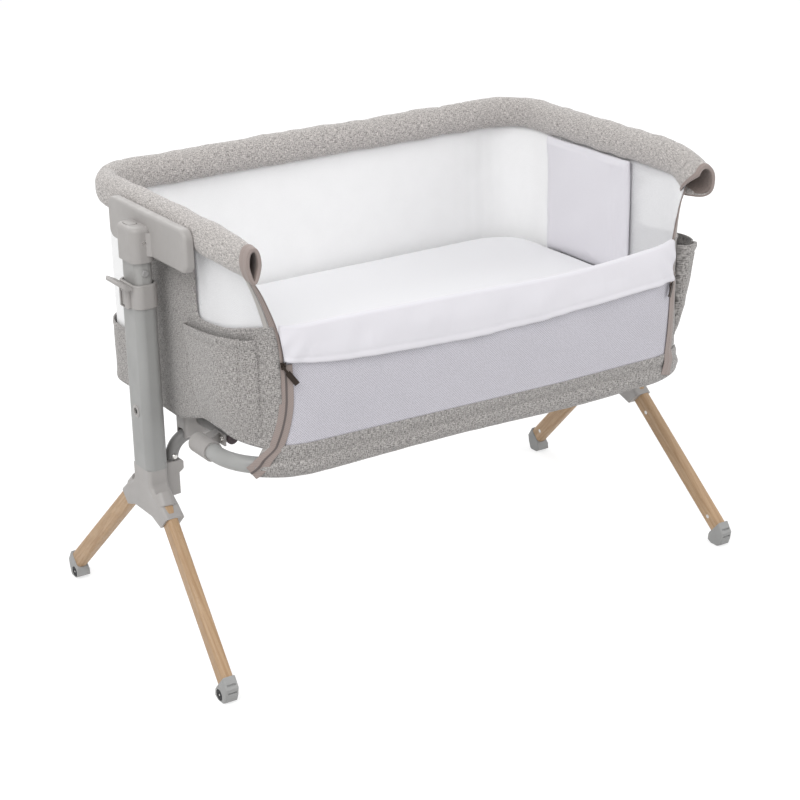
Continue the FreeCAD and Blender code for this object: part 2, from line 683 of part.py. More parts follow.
def leg_socket():
    """Moulding that joins a column, two legs and the cross tube."""
    web = new_body("socket_web")
    side = sketch_on(web, "YZ")
    half = [("socket_wide / 2", "column_foot"), ("socket_wide / 2", "neck_foot"),
            ("leg_top_y + 7", "leg_top_z + 11"), ("leg_top_y + 26", "leg_top_z - 4"),
            ("leg_top_y + 6", "leg_top_z - 24"), ("socket_wide / 2 + 0.2", "crotch_height")]
    outline = half + [(f"-({y})", z) for y, z in reversed(half)]
    polygon(side, outline)
    pad(web, side, "socket_deep", middle=True)
    rounded(web, 12, lambda e: abs(e.tangentAt(e.FirstParameter).x) > 0.99
            and (abs(e.CenterOfMass.z - size("crotch_height")) < 1
                 or abs(e.CenterOfMass.z - size("neck_foot")) < 1))
    rounded(web, 6, lambda e: abs(e.tangentAt(e.FirstParameter).x) < 0.01
            and e.CenterOfMass.z < size("column_foot") - 1 and e.CenterOfMass.z > size("crotch_height") + 3)
    place(web, "-post_x - 1", 0, 0, Rotation())
    spigot = bar("socket_spigot", "column_deep - 2 * column_wall - apart",
                 "column_wide - 2 * column_wall - apart", "column_corner - column_wall",
                 "spigot_long + 6")
    rounded(spigot, 1.5, lambda e: level(e, size("spigot_long + 6")), "Chamfer")
    place(spigot, "-post_x", 0, "column_foot - 6", Rotation())
    stubs, bores = [], []
    for side_y in (-1, 1):
        stub = bar(f"socket_stub_{side_y + 1}", "leg_deep + 8", "leg_thick + 7", "leg_corner + 3",
                   "leg_in_socket + 8")
        rounded(stub, 1.5, lambda e: level(e, 0), "Chamfer")
        stubs.append(along_leg(stub, side_y, LEG_RUN))
        bore = bar(f"socket_bore_{side_y + 1}", "leg_deep + 2 * leg_fit", "leg_thick + 2 * leg_fit",
                   "leg_corner + leg_fit", "leg_in_socket + 30")
        bores.append(along_leg(bore, side_y, LEG_RUN - 30))
    bracket = new_body("socket_bracket")
    hook = sketch_on(bracket, "XZ")
    inner = "-cross_x + cross_size / 2"
    side_face = "-post_x + column_deep / 2 + apart"
    polygon(hook, [("-post_x + 10", "bracket_foot"), (f"{inner} - 5", "bracket_foot + 2"),
                   (f"{inner} - 5", "bracket_lip - 3"), (f"{inner} + 2.5", "bracket_lip + 2"),
                   (f"{inner} + 2.5", "bracket_head"), (side_face, "bracket_head"),
                   (side_face, "column_foot - 1"), ("-post_x + 10", "column_foot - 1")])
    pad(bracket, hook, "bracket_wide", middle=True)
    rounded(bracket, 4, lambda e: abs(e.tangentAt(e.FirstParameter).y) > 0.99
            and e.CenterOfMass.x > size(inner) + 1)
    riser = rod("socket_riser_bore", "cross_size + 0.1", 80, "-cross_x", 0, "cross_foot",
                Vector(0, 0, 1))
    body = fuse("socket_body", web, spigot, *stubs, bracket)
    return cut("leg_socket_left", body, riser, *bores)


def foot_cap():
    """Boot on the leg's end: flat sole, ribbed toe, pocket for a roller."""
    body = new_body("foot_boot")
    side = sketch_on(body, "YZ")
    low, along, turn, length = leg_frame(-1)
    up = turn.multVec(Vector(0, 1, 0))
    up = up if up.z > 0 else -up
    reach = size("leg_thick / 2 + cap_wall")
    top = low + up * reach
    heel = low - up * reach
    polygon(side, [(heel.y, heel.z), (top.y, top.z), (top.y - 11, top.z - 16), (top.y - 9, 13),
                   ("-leg_foot_y - 16", 2.5), ("-leg_foot_y - 10", 0), ("-leg_foot_y + 5", 0),
                 ("-leg_foot_y + 13", 4), (heel.y + 1, heel.z - 5)])
    pad(body, side, "leg_deep + 2 * cap_wall", middle=True)
    rounded(body, 3, lambda e: abs(e.tangentAt(e.FirstParameter).x) < 0.01
            and e.CenterOfMass.z < low.z + 14 and e.CenterOfMass.y < low.y and e.CenterOfMass.z > 6)
    place(body, "-leg_foot_x - 0.6", 0, 0, Rotation())
    bore = along_leg(bar("foot_bore", "leg_deep + 2 * leg_fit", "leg_thick + 2 * leg_fit",
                         "leg_corner + leg_fit", "leg_in_cap + 30"), -1, "-leg_in_cap")
    outer = "-leg_foot_x - 0.6 - leg_deep / 2 - cap_wall"
    well = rod("roller_well", "roller_size + 2", "roller_wide + 1", f"{outer} - 0.5", ROLLER_Y,
               ROLLER_Z, ACROSS)
    axle = rod("axle_bore", "pin_bore", "leg_deep", f"{outer} - 0.5", ROLLER_Y, ROLLER_Z, ACROSS)
    ribs = [block(f"toe_gap_{i}", "leg_deep - 4", 3.2, 2.6, "-leg_foot_x - 0.6", top.y - 7.4 - i * 1.2,
                  top.z - 12 - i * 6) for i in range(4)]
    return cut("foot_front_left", body, bore, well, axle, *ribs)


ROLLER_Y = "-leg_foot_y + 0.5"
ROLLER_Z = "roller_size / 2 + roller_lift"
ROLLER_X = "-leg_foot_x - 0.6 - leg_deep / 2 - cap_wall"


def roller():
    """Small tyre-shaped roller with a bore for its axle."""
    body = new_body("roller_front_left")
    half = sketch_on(body, "XZ")
    rim = "roller_size / 2"
    polygon(half, [("pin_bore / 2 + 0.05", 0), (f"{rim} - 1.2", 0), (rim, 1.2),
                   (rim, "roller_wide - 1.2"), (f"{rim} - 1.2", "roller_wide"),
                   (f"{rim} - 3", "roller_wide"), (f"{rim} - 3.8", "roller_wide - 1"),
                   ("pin_bore / 2 + 0.05", "roller_wide - 1")])
    turned = body.newObject("PartDesign::Revolution", "roller_turned")
    turned.Profile = half
    turned.ReferenceAxis = (half, ["V_Axis"])
    turned.Angle = 360
    doc.recompute()
    return place(body, f"{ROLLER_X} + roller_wide - 0.3", ROLLER_Y, ROLLER_Z,
                 Rotation(Vector(0, 1, 0), -90))


def roller_axle():
    return rod("roller_axle", "pin_bore", "leg_deep - 2", f"{ROLLER_X} + 0.3", ROLLER_Y, ROLLER_Z, ACROSS)


def cross_tube():
    """Tube that rises from one socket, runs under the bed and drops to the other."""
    body = new_body("crossbar_tube")
    spine = sketch_on(body, "XZ")
    edges = half_loop(spine, "cross_height", "cross_x", "cross_bend", "cross_foot")
    ring = sketch_on(body, "YZ")
    circle(ring, "cross_size", 0, "cross_height")
    circle(ring, "cross_size - 2 * cross_wall", 0, "cross_height")
    swept(body, spine, edges, ring)
    holes = []
    for side_x in (-1, 1):
        holes.append(rod(f"cross_hole_{side_x + 1}", 5.1, "cross_size + 10", f"{side_x} * cross_x",
                         "-cross_size / 2 - 5", "bracket_head + 6", ALONG))
    return cut("crossbar", body, *holes)


def cross_screw():
    """Button-headed bolt through the cross tube, just above its bracket."""
    body = new_body("cross_screw")
    half = sketch_on(body, "XZ")
    polygon(half, [(0, 0), (2.5, 0), (2.5, "cross_size"), (4.6, "cross_size"),
                   (4.6, "cross_size + 1.8"), (3, "cross_size + 3.2"), (0, "cross_size + 3.2")])
    turned = body.newObject("PartDesign::Revolution", "cross_screw_turned")
    turned.Profile = half
    turned.ReferenceAxis = (half, ["V_Axis"])
    turned.Angle = 360
    doc.recompute()
    return place(body, "-cross_x", "cross_size / 2", "bracket_head + 6", Rotation(Vector(1, 0, 0), 90))


def both_ends(piece, right_label):
    """Keep a left piece and its mirror image at the right end."""
    keep(piece, mirrored(piece, right_label, ACROSS))


both_ends(column(), "column_right")
both_ends(collar(), "collar_right")
both_ends(lever(), "lever_right")
both_ends(leg_socket(), "leg_socket_right")

front_leg, front_foot, front_roller = leg(), foot_cap(), roller()
for piece, kind in ((front_leg, "leg"), (front_foot, "foot"), (front_roller, "roller")):
    both_ends(piece, f"{kind}_front_right")
    both_ends(mirrored(piece, f"{kind}_back_left", ALONG), f"{kind}_back_right")


def four_of(label, *pieces):
    """Group of like pieces at all four legs."""
    copies = list(pieces)
    copies += [mirrored(p, f"{p.Name}_back", ALONG) for p in pieces]
    copies += [mirrored(p, f"{p.Name}_right", ACROSS) for p in list(copies)]
    return keep(group(label, *copies))


def two_of(label, *pieces):
    """Group of like pieces at both ends."""
    return keep(group(label, *pieces, *[mirrored(p, f"{p.Name}_right", ACROSS) for p in pieces]))


four_of("leg_screws", *[screw(f"leg_screw_{i}", up) for i, up in enumerate(SCREW_PLACES)])
axles, hinges = roller_axle(), hinge_pin()
back_axle = mirrored(axles, "roller_axle_back", ALONG)
two_of("stand_pins", axles, back_axle, hinges)
two_of("sight_eyelets", eyelet())
keep(cross_tube())
two_of("crossbar_screws", cross_screw())


# ---------------------------------------------------------------- telescopic posts

def inner_tube():
    """Inner tube with its row of height holes, a button hole and a tilt-pin bore."""
    body = new_body("post_left")
    section = sketch_on(body, "XY")
    soft_box(section, "tube_deep", "tube_wide", "tube_corner")
    soft_box(section, "tube_deep - 2 * tube_wall", "tube_wide - 2 * tube_wall",
             "tube_corner - tube_wall")
    pad(body, section, "tube_head - tube_foot")
    holes = sketch_on(body, "YZ")
    for i in range(round(size("index_count"))):
        circle(holes, "index_bore", 0, f"latch_height - tube_foot - {i} * index_pitch")
    pocket(body, holes, "tube_deep")
    button = sketch_on(body, "XZ")
    circle(button, "button_size + 0.2", 0, "button_height - tube_foot")
    pocket(body, button, "tube_wide", back=True)
    pin = sketch_on(body, "XZ")
    circle(pin, "tilt_pin + 0.1", 0, "tilt_height - tube_foot")
    pocket(body, pin, "2 * tube_wide", middle=True)
    return place(body, "-post_x", 0, "tube_foot")


def snap_button():
    """Domed button with a skirt and the bent strip that springs it out."""
    body = new_body("button_dome")
    half = sketch_on(body, "XZ")
    skirt = "tube_wall + 0.3"
    polygon(half, [(0, f"-({skirt}) - 1.4"), ("button_size / 2 + 0.6", f"-({skirt}) - 1.4"),
                   ("button_size / 2 + 0.6", f"-({skirt})"), ("button_size / 2", f"-({skirt})"),
                   ("button_size / 2", "button_out - 1"), ("button_size / 2 - 1.2", "button_out"),
                   (0, "button_out")])
    turned = body.newObject("PartDesign::Revolution", "button_turned")
    turned.Profile = half
    turned.ReferenceAxis = (half, ["V_Axis"])
    turned.Angle = 360
    doc.recompute()
    place(body, "-post_x", "-tube_wide / 2", "button_height", Rotation(Vector(1, 0, 0), 90))
    strip = new_body("button_strip")
    side = sketch_on(strip, "YZ")
    start = "-tube_wide / 2 + tube_wall + 1.7"
    polygon(side, [(start, "button_height + 5"), (start, "button_height - 6"),
                   (f"{start} + 16", "button_height - 34"), (f"{start} + 32", "button_height - 20"),
                   (f"{start} + 31.4", "button_height - 19.2"),
                   (f"{start} + 16", "button_height - 32.6"),
                   (f"{start} + 0.8", "button_height - 5.6"),
                   (f"{start} + 0.8", "button_height + 5")])
    pad(strip, side, 9, middle=True)
    place(strip, "-post_x", 0, 0, Rotation())
    return fuse("snap_button_left", body, strip)


# ---------------------------------------------------------------- head mouldings

def head():
    """Post cap and rail plate in one moulding, with a tongue-shaped tab recess."""
    cap = new_body("head_cap")
    plan = sketch_on(cap, "XY")
    soft_box(plan, "head_deep", "head_wide", "head_corner")
    pad(cap, plan, "head_top - head_foot")
    rounded(cap, 7, lambda e: level(e, size("head_top - head_foot")))
    place(cap, "-post_x", 0, "head_foot")
    plate = new_body("head_plate")
    face = sketch_on(plate, "YZ")
    soft_box(face, "plate_front + plate_back", "plate_head - plate_foot", "plate_corner",
             "(plate_back - plate_front) / 2", "(plate_head + plate_foot) / 2")
    pad(plate, face, "plate_thick")
    outer = "-rail_x - sleeve_deep / 2 - apart - plate_thick"
    rounded(plate, 5, lambda e: abs(e.BoundBox.XMax) < 0.01)
    rounded(plate, 2, lambda e: abs(e.BoundBox.XMin - size("plate_thick")) < 0.01)
    place(plate, outer, 0, 0)
    web = new_body("head_web")
    gusset = sketch_on(web, "XY")
    out = f"({outer}) + 3"
    polygon(gusset, [(out, "head_wide / 2 + 9"), ("-post_x - 2", "head_wide / 2 - 5"),
                     ("-post_x - 2", "-head_wide / 2 + 5"), (out, "-head_wide / 2 - 9"),
                     (f"{out} + 6", "-head_wide / 2 - 9"), (f"{out} + 6", "head_wide / 2 + 9")])
    pad(web, gusset, "head_top - head_foot - 18")
    place(web, 0, 0, "head_foot + 10")
    bosses = []
    for side_y in (-1, 1):
        bosses.append(rod(f"plate_boss_{side_y + 1}", 12, "sleeve_deep / 2 - rail_size / 2 + 1",
                          f"{outer} + plate_thick - 1 + apart", f"{side_y} * 88 - 10", "rail_height", ACROSS))
    socket = bar("head_socket", "tube_deep + 2 * head_play", "tube_wide + 2 * apart",
                 "tube_corner + apart", "tube_head - head_foot + 3")
    place(socket, "-post_x", 0, "head_foot - 1", Rotation())
    pin = rod("head_pin_bore", "tilt_pin + 0.02", "head_wide + 4", "-post_x", "-head_wide / 2 - 2",
              "tilt_height", ALONG)
    tab = bar("tab_recess", 17, 24, 6, 9)
    place(tab, "-post_x - 4", 6, "head_top - 4.5", Rotation())
    whole = fuse("head_whole", cap, plate, web, *bosses)
    return cut("head_left", whole, socket, pin, tab)


def head_tab():
    """Press tab in the crown of the post cap."""
    body = bar("head_tab_left", 15, 22, 5, 3.4)
    rounded(body, 1.2, lambda e: level(e, 3.4))
    return place(body, "-post_x - 4", 6, "head_top - 4.5 + 2", Rotation())


def tilt_pin():
    return rod("tilt_pin", "tilt_pin", "head_wide - 3", "-post_x", "-(head_wide - 3) / 2",
               "tilt_height", ALONG)


# ---------------------------------------------------------------- top rail

def top_rail():
    """Steel tube round three sides, open to the front."""
    body = new_body("rail_tube")
    spine = sketch_on(body, "XY", "rail_height")
    edges = half_loop(spine, "rail_back", "rail_x", "rail_bend", "-rail_end")
    ring = sketch_on(body, "YZ")
    circle(ring, "rail_size", "rail_back", "rail_height")
    circle(ring, "rail_size - 2 * rail_wall", "rail_back", "rail_height")
    return swept(body, spine, edges, ring)


def rail_sleeve():
    """Padded cloth sleeve over the rail, open at both front ends."""
    body = new_body("sleeve_pad")
    spine = sketch_on(body, "XY", "rail_height")
    edges = half_loop(spine, "rail_back", "rail_x", "rail_bend", "-sleeve_end")
    ring = sketch_on(body, "YZ")
    soft_box(ring, "sleeve_deep", "sleeve_high", "sleeve_deep / 2 - 1", "rail_back", "rail_height")
    circle(ring, "rail_size + 2 * sleeve_play", "rail_back", "rail_height")
    swept(body, spine, edges, ring)
    holes = []
    for side_x in (-1, 1):
        for side_y in (-1, 1):
            holes.append(rod(f"sleeve_hole_{side_x + 1}{side_y + 1}", 12.8, 14,
                             f"{side_x} * (rail_x + rail_size / 2 - 3)", f"{side_y} * 88 - 10",
                             "rail_height", ACROSS * side_x))
    return cut("rail_sleeve", body, *holes)


# ---------------------------------------------------------------- lower bar and base frame

def front_bar():
    """U-shaped bar parked low at the front, its arms held in two sockets."""
    body = new_body("front_bar")
    spine = sketch_on(body, "XY", "bar_height")
    edges = half_loop(spine, "-bar_front", "bar_x", "bar_bend", "-bar_end")
    ring = sketch_on(body, "YZ")
    circle(ring, "rail_size", "-bar_front", "bar_height")
    circle(ring, "rail_size - 2 * rail_wall", "-bar_front", "bar_height")
    return swept(body, spine, edges, ring)


BOLT_Y = "-base_front + 8"


def bar_socket():
    """Closed sleeve on a flat arm that is bolted to the base frame."""
    sleeve = rod("holder_sleeve", "holder_size", "holder_front - holder_back", "-bar_x",
                 "-holder_front", "bar_height", ALONG)
    arm = new_body("holder_arm")
    plan = sketch_on(arm, "XY")
    inner = "-base_x - base_size / 2 - apart"
    polygon(plan, [("-bar_x", "-holder_back - 6"), ("-bar_x", "-holder_front + 20"),
                   (f"{inner} - 3", "-base_front + 16"), (f"{inner} - 3", "-base_front + 1"),
                   (inner, "-base_front + 1"), (inner, "-holder_back + 8")])
    pad(arm, plan, 17, middle=True)
    place(arm, 0, 0, "bar_height + 2", Rotation())
    whole = fuse("holder_whole", sleeve, arm)
    bore = rod("holder_bore", "rail_size + 0.1", "holder_front - holder_back", "-bar_x",
               "-holder_front - 4", "bar_height", ALONG)
    bolt = rod("holder_bolt_bore", 5.1, 30, f"{inner} - 12", BOLT_Y, "base_height", ACROSS)
    return cut("bar_socket_left", whole, bore, bolt)


def base_frame():
    """Tube under the bed, round the back, with plugged front ends."""
    body = new_body("base_tube")
    spine = sketch_on(body, "XY", "base_height")
    edges = half_loop(spine, "base_back", "base_x", "base_bend", "-base_front")
    ring = sketch_on(body, "YZ")
    circle(ring, "base_size", "base_back", "base_height")
    circle(ring, "base_size - 2 * rail_wall", "base_back", "base_height")
    swept(body, spine, edges, ring)
    holes = [rod(f"base_hole_{s + 1}", 5.1, 30, f"{s} * base_x - 15", BOLT_Y, "base_height", ACROSS)
             for s in (-1, 1)]
    return cut("base_frame", body, *holes)


def base_plug():
    """Dark plug in the front end of the base frame."""
    body = new_body("base_plug")
    half = sketch_on(body, "XZ")
    bore, rim = "base_size / 2 - rail_wall - 0.05", "base_size / 2"
    polygon(half, [(0, -4), (bore, -4), (bore, 0), (rim, 0), (rim, 1.2), (f"{rim} - 1.5", 2.6),
                   (0, 2.6)])
    turned = body.newObject("PartDesign::Revolution", "base_plug_turned")
    turned.Profile = half
    turned.ReferenceAxis = (half, ["V_Axis"])
    turned.Angle = 360
    doc.recompute()
    return place(body, "-base_x", "-base_front", "base_height", Rotation(Vector(1, 0, 0), 90))


def socket_bolt():
    """Bolt that holds a bar socket to the base frame, with its white washer."""
    body = new_body("socket_bolt")
    half = sketch_on(body, "XZ")
    polygon(half, [(0, 0), (5.5, 0), (5.5, 1.2), (3.6, 1.2), (3.6, 3.6), (0, 3.6)])
    turned = body.newObject("PartDesign::Revolution", "bolt_turned")
    turned.Profile = half
    turned.ReferenceAxis = (half, ["V_Axis"])
    turned.Angle = 360
    doc.recompute()
    shank = rod("bolt_shank", 5, "base_size + 4", 0, 0, "-base_size - 4", Vector(0, 0, 1))
    whole = fuse("socket_bolt_whole", body, shank)
    return place(whole, "-base_x - base_size / 2 - apart - 3", BOLT_Y, "base_height",
                 Rotation(Vector(0, 1, 0), -90))


def saddle():
    """Half-round cup under the base board that straddles the cross tube."""
    cup = new_body("saddle_cup")
    section = sketch_on(cup, "YZ")
    half = [("saddle_wide / 2", "wall_foot + 1 - apart"), ("saddle_wide / 2", "cross_height + 2"),
            ("saddle_wide / 2 - 3", "cross_height - 2"), ("cross_size / 2 + apart + 1", "cross_height - 2"),
            ("cross_size / 2 + apart + 1", "cross_height + 6"),
            ("cross_size / 2 - 4", "cross_height + cross_size / 2 + 1")]
    polygon(section, half + [(f"-({y})", z) for y, z in reversed(half)])
    pad(cup, section, "saddle_long", middle=True)
    rounded(cup, 6, lambda e: abs(e.tangentAt(e.FirstParameter).z) > 0.99
            and abs(e.CenterOfMass.y) > 13)
    place(cup, "-saddle_x", 0, 0, Rotation())
    rivet = rod("saddle_rivet_bore", 4.1, 12, "-saddle_x + 10", "-saddle_wide / 2 - 1",
                "cross_height + 22", ALONG)
    tube = rod("saddle_tube_bore", "base_size + 2 * apart", "saddle_wide + 4", "-base_x",
               "-saddle_wide / 2 - 2", "base_height", ALONG)
    return cut("saddle_left", cup, rivet, tube)


both_ends(inner_tube(), "post_right")
both_ends(snap_button(), "snap_button_right")
both_ends(head(), "head_right")
both_ends(head_tab(), "head_tab_right")
two_of("tilt_pins", tilt_pin())
keep(top_rail())
keep(rail_sleeve())
keep(front_bar())
both_ends(bar_socket(), "bar_socket_right")
keep(base_frame())
two_of("base_plugs", base_plug())
two_of("socket_bolts", socket_bolt())
two_of("saddles", saddle())


# ---------------------------------------------------------------- bed

LAYER = "cloth + cloth_gap"
INNER_FACE = "wall_x - 2 * cloth - cloth_gap"


def flat_slab(label, gap, levels):
    """Slab inside the walls, lofted through (height, inset) levels."""
    body = new_body(label)
    wide = f"2 * ({INNER_FACE} - {gap})"
    back = f"wall_back - 2 * cloth - cloth_gap - {gap}"
    front = f"wall_front - 2 * cloth - cloth_gap - {gap}"
    corner = f"wall_front_bend - 2 * cloth - cloth_gap - {gap}"
    outlines = []
    for height, inset in levels:
        outline = sketch_on(body, "XY", height)
        soft_box(outline, f"{wide} - 2 * {inset}", f"({back}) + ({front}) - 2 * {inset}",
                 f"{corner} - {inset} / 2", 0, f"(({back}) - ({front})) / 2")
        outlines.append(outline)
    loft = body.newObject("PartDesign::AdditiveLoft", label + "_loft")
    loft.Profile = outlines[0]
    loft.Sections = outlines[1:]
    loft.Ruled = True
    doc.recompute()
    return body


def base_board():
    """Padded board on the base frame."""
    foot = "wall_foot + 1"
    return flat_slab("base_board", "2", [(foot, 2), (f"{foot} + 3", 0),
                                         (f"{foot} + board_thick", 0)])


def mattress():
    """Firm pad with a low crown and eased edges."""
    foot = "wall_foot + 1 + board_thick + apart"
    return flat_slab("mattress", "mattress_gap",
                     [(foot, 6), (f"{foot} + 8", 0), ("mattress_edge - 12", 0), ("mattress_edge - 3", 4),
                      ("mattress_edge", 12), ("mattress_edge + 4", 50), ("mattress_head", 120)])


def wall(label, layer, foot, head, end):
    """Sheet of cloth round the back and both ends, `layer` in from the outside."""
    body = new_body(label)
    inset = f"({layer}) + cloth / 2"
    spine = sketch_on(body, "XY", f"(({foot}) + ({head})) / 2")
    edges = half_loop(spine, f"wall_back - ({inset})", f"wall_x - ({inset})",
                      f"wall_back_bend - ({inset})", end)
    profile = sketch_on(body, "YZ")
    box_outline(profile, "cloth", f"({head}) - ({foot})", f"wall_back - ({inset})",
                f"(({foot}) + ({head})) / 2")
    return swept(body, spine, edges, profile)


WING_TURN = 62


def wing(label, layer, thick="cloth"):
    """Front wing of an end panel: round the corner below, straight to the rail above."""
    inset, thick = size(layer), size(thick)
    radius = size("wall_front_bend") - inset
    middle = Vector(-size("wall_x - wall_front_bend"), -size("wall_front - wall_front_bend"), 0)
    slider, foot, head = size("slider_height"), size("seam_height") + 0.6, size("wall_head")

    def on_arc(r, degrees, z):
        a = math.radians(180 + degrees)
        return middle + Vector(r * math.cos(a), r * math.sin(a), z)

    def low_wire(z):
        arcs = [Part.Arc(on_arc(r, 0, z), on_arc(r, WING_TURN / 2, z), on_arc(r, WING_TURN, z)).toShape()
                for r in (radius, radius - thick)]
        ends = [Part.makeLine(on_arc(radius, a, z), on_arc(radius - thick, a, z)) for a in (0, WING_TURN)]
        return Part.Wire(Part.__sortEdges__([arcs[0], ends[1], arcs[1], ends[0]]))

    x = -size("wall_x") + inset
    front, back = -size("sleeve_end") + 4, middle.y
    corners = [(x, back), (x, front), (x + thick, front), (x + thick, back)]
    points = [Vector(a, b, head) for a, b in corners]
    lower = Part.Face(low_wire(foot)).extrude(Vector(0, 0, slider - foot))
    outer = [Part.Arc(on_arc(r, 0, slider), on_arc(r, WING_TURN / 2, slider),
                      on_arc(r, WING_TURN, slider)).toShape() for r in (radius, radius - thick)]
    tops = [Part.makeLine(points[0], points[1]), Part.makeLine(points[3], points[2])]
    faces = [Part.makeRuledSurface(outer[0], tops[0]), Part.makeRuledSurface(outer[1], tops[1])]
    for degrees, a, b in ((0, points[0], points[3]), (WING_TURN, points[1], points[2])):
        faces.append(Part.makeRuledSurface(
            Part.makeLine(on_arc(radius, degrees, slider), on_arc(radius - thick, degrees, slider)),
            Part.makeLine(a, b)))
    faces.append(Part.Face(low_wire(slider)))
    faces.append(Part.Face(Part.makePolygon(points + points[:1])))
    upper = Part.Solid(Part.Shell(faces))
    if upper.Volume < 0:
        upper.reverse()
    piece = doc.addObject("Part::Feature", label)
    piece.Shape = lower.fuse(upper)
    return piece


def end_panel():
    """Heather cloth of one end: low panel, middle stay up to the rail, front wing."""
    sheet_body = new_body("panel_sheet")
    face = sketch_on(sheet_body, "YZ")
    bend = "-wall_front + wall_front_bend"
    polygon(face, [("stay_half", "wall_foot"), ("stay_half", "wall_head"), ("-stay_half", "wall_head"),
                   ("-stay_half", "end_panel_head"), (bend, "end_panel_head"),
                   (bend, "seam_height + 0.6"), ("-stay_half", "wall_foot + 14"),
                   ("-stay_half / 2", "wall_foot + 4"), (0, "wall_foot")])
    pad(sheet_body, face, "cloth")
    place(sheet_body, "-wall_x", 0, 0)
    above = block("wing_above", 200, 200, 200, "-wall_x", "-wall_front", "end_panel_head")
    low_wing = cut("panel_wing", wing("panel_wing_whole", "0"), above)
    return fuse("end_panel_left", sheet_body, low_wing)


def mesh_wall():
    """Mesh lining round the back and the ends, up to the rail."""
    around = wall("mesh_around", LAYER, "seam_height + 0.6", "wall_head", "-wall_front + wall_front_bend")
    left = wing("mesh_wing_left", LAYER)
    right = mirrored(left, "mesh_wing_right", ACROSS)
    return fuse("mesh_wall", around, left, right)


def front_sheet(label, profile_points, sweep):
    """Cloth along the front, drawn as a profile in the (Y, Z) plane."""
    body = new_body(label)
    spine = sketch_on(body, "XY", "seam_height")
    edges = half_loop(spine, "-wall_front", "wall_x", "wall_front_bend", sweep=sweep)
    profile = sketch_on(body, "YZ")
    polygon(profile, profile_points)
    return swept(body, spine, edges, profile)


def front_mesh():
    """Mesh of the lowered front, from the band up to its fold."""
    foot, head = "seam_height + apart", "front_head"
    return front_sheet("front_mesh", [("-wall_front", foot), ("-wall_front", head),
                                      ("-wall_front + cloth", head), ("-wall_front + cloth", foot)], 23)


def front_flap():
    """White hem folded over the top of the lowered front."""
    out, near = "-wall_front - 3.2", "-wall_front - 1"
    inner, far = "-wall_front + cloth + 1", "-wall_front + cloth + 3.2"
    return front_sheet("front_flap", [
        (out, "flap_foot"), (f"{out} - 1.6", "flap_foot + 16"), (out, "front_head + 1"),
        (f"{out} + 1.2", "front_head + 3"), (f"{far} - 1.2", "front_head + 3"), (far, "front_head + 1"),
        (far, "flap_foot + 24"), (inner, "flap_foot + 24"), (inner, "front_head + 0.5"),
        (near, "front_head + 0.5"), (near, "flap_foot")], 19)


def front_band():
    """Heather band whose hem wraps the lower front bar."""
    body = new_body("front_band")
    spine = sketch_on(body, "XY", "bar_height")
    edges = half_loop(spine, "-bar_front", "bar_x", "bar_bend", sweep=45)
    profile = sketch_on(body, "YZ")
    hem = "rail_size / 2 + sleeve_play + cloth"
    near, far, top = "-wall_front", f"-bar_front + {hem}", f"bar_height + {hem}"
    polygon(profile, [(near, "seam_height"), (near, "band_foot + 7"), (f"{near} + 6", "band_foot"),
                      (f"{far} - 6", "band_foot"), (far, "band_foot + 6"), (far, f"{top} - 6"),
                      (f"{far} - 6", top), (f"{near} + cloth", top), (f"{near} + cloth", "seam_height")])
    circle(profile, "rail_size + 2 * sleeve_play", "-bar_front", "bar_height")
    return swept(body, spine, edges, profile)


def inner_flap():
    """Padded white flap that hangs inside the right end."""
    body = new_body("inner_flap")
    face = sketch_on(body, "YZ")
    soft_box(face, "inner_flap_wide", "wall_head - mattress_head - 8", 8, "inner_flap_y",
             "(wall_head + mattress_head) / 2")
    pad(body, face, 7)
    rounded(body, 2.5, lambda e: abs(e.BoundBox.XMax) < 0.01)
    return place(body, f"{INNER_FACE} - 7 - apart", 0, 0)


def pocket_form(label, outline, sweep, start):
    """Profile carried along the right end and round its corner, from `start` on."""
    body = new_body(label + "_run")
    spine = sketch_on(body, "XY", "pocket_foot")
    edges = half_loop(spine, "wall_x", "wall_front", "wall_front_bend", sweep=sweep)
    profile = sketch_on(body, "YZ")
    polygon(profile, outline)
    swept(body, spine, edges, profile, mirror=None)
    place(body, 0, 0, 0, Rotation(Vector(0, 0, 1), -90))
    behind = block(label + "_behind", 100, 200, 300, "wall_x", f"100 - {start}", "pocket_foot - 50")
    return cut(label, body, behind)


def pocket_pouch():
    """Open-topped pouch sewn on an end panel and its corner, fuller towards its mouth."""
    face, out = "wall_x + apart", "wall_x + apart + pocket_deep"
    skin = pocket_form("pocket_skin", [
        (face, "pocket_foot"), (f"{face} + 3", "pocket_foot"), (f"{out} - 2", "pocket_foot + 22"),
        (out, "pocket_foot + 60"), (f"{out} + 1", "pocket_head"), (face, "pocket_head")],
        size("pocket_turn"), "pocket_back")
    room = pocket_form("pocket_room", [
        (f"{face} - 2", "pocket_foot + 4"), (f"{face} + 2.2", "pocket_foot + 4"),
        (f"{out} - 3.6", "pocket_foot + 23"), (f"{out} - cloth", "pocket_foot + 60"),
        (f"{out} - cloth + 1", "pocket_head + 1"), (f"{face} - 2", "pocket_head + 1")],
        size("pocket_turn") - 1, "(pocket_back + cloth)")
    whole = mirrored(cut("pocket_whole", skin, room), "pocket_mirrored", ACROSS)
    return cut("pocket_left", whole, wing("pocket_clearance", "-apart", "10 * cloth"))


ZIP_TURN = 64.5


def on_corner(out, height, turn=ZIP_TURN):
    """Point on the front corner, `out` from the cloth's outer face."""
    radius = size("wall_front_bend") + out
    angle = math.radians(180 + turn)
    return Vector(-size("wall_x - wall_front_bend") + radius * math.cos(angle),
                  -size("wall_front - wall_front_bend") + radius * math.sin(angle), height)


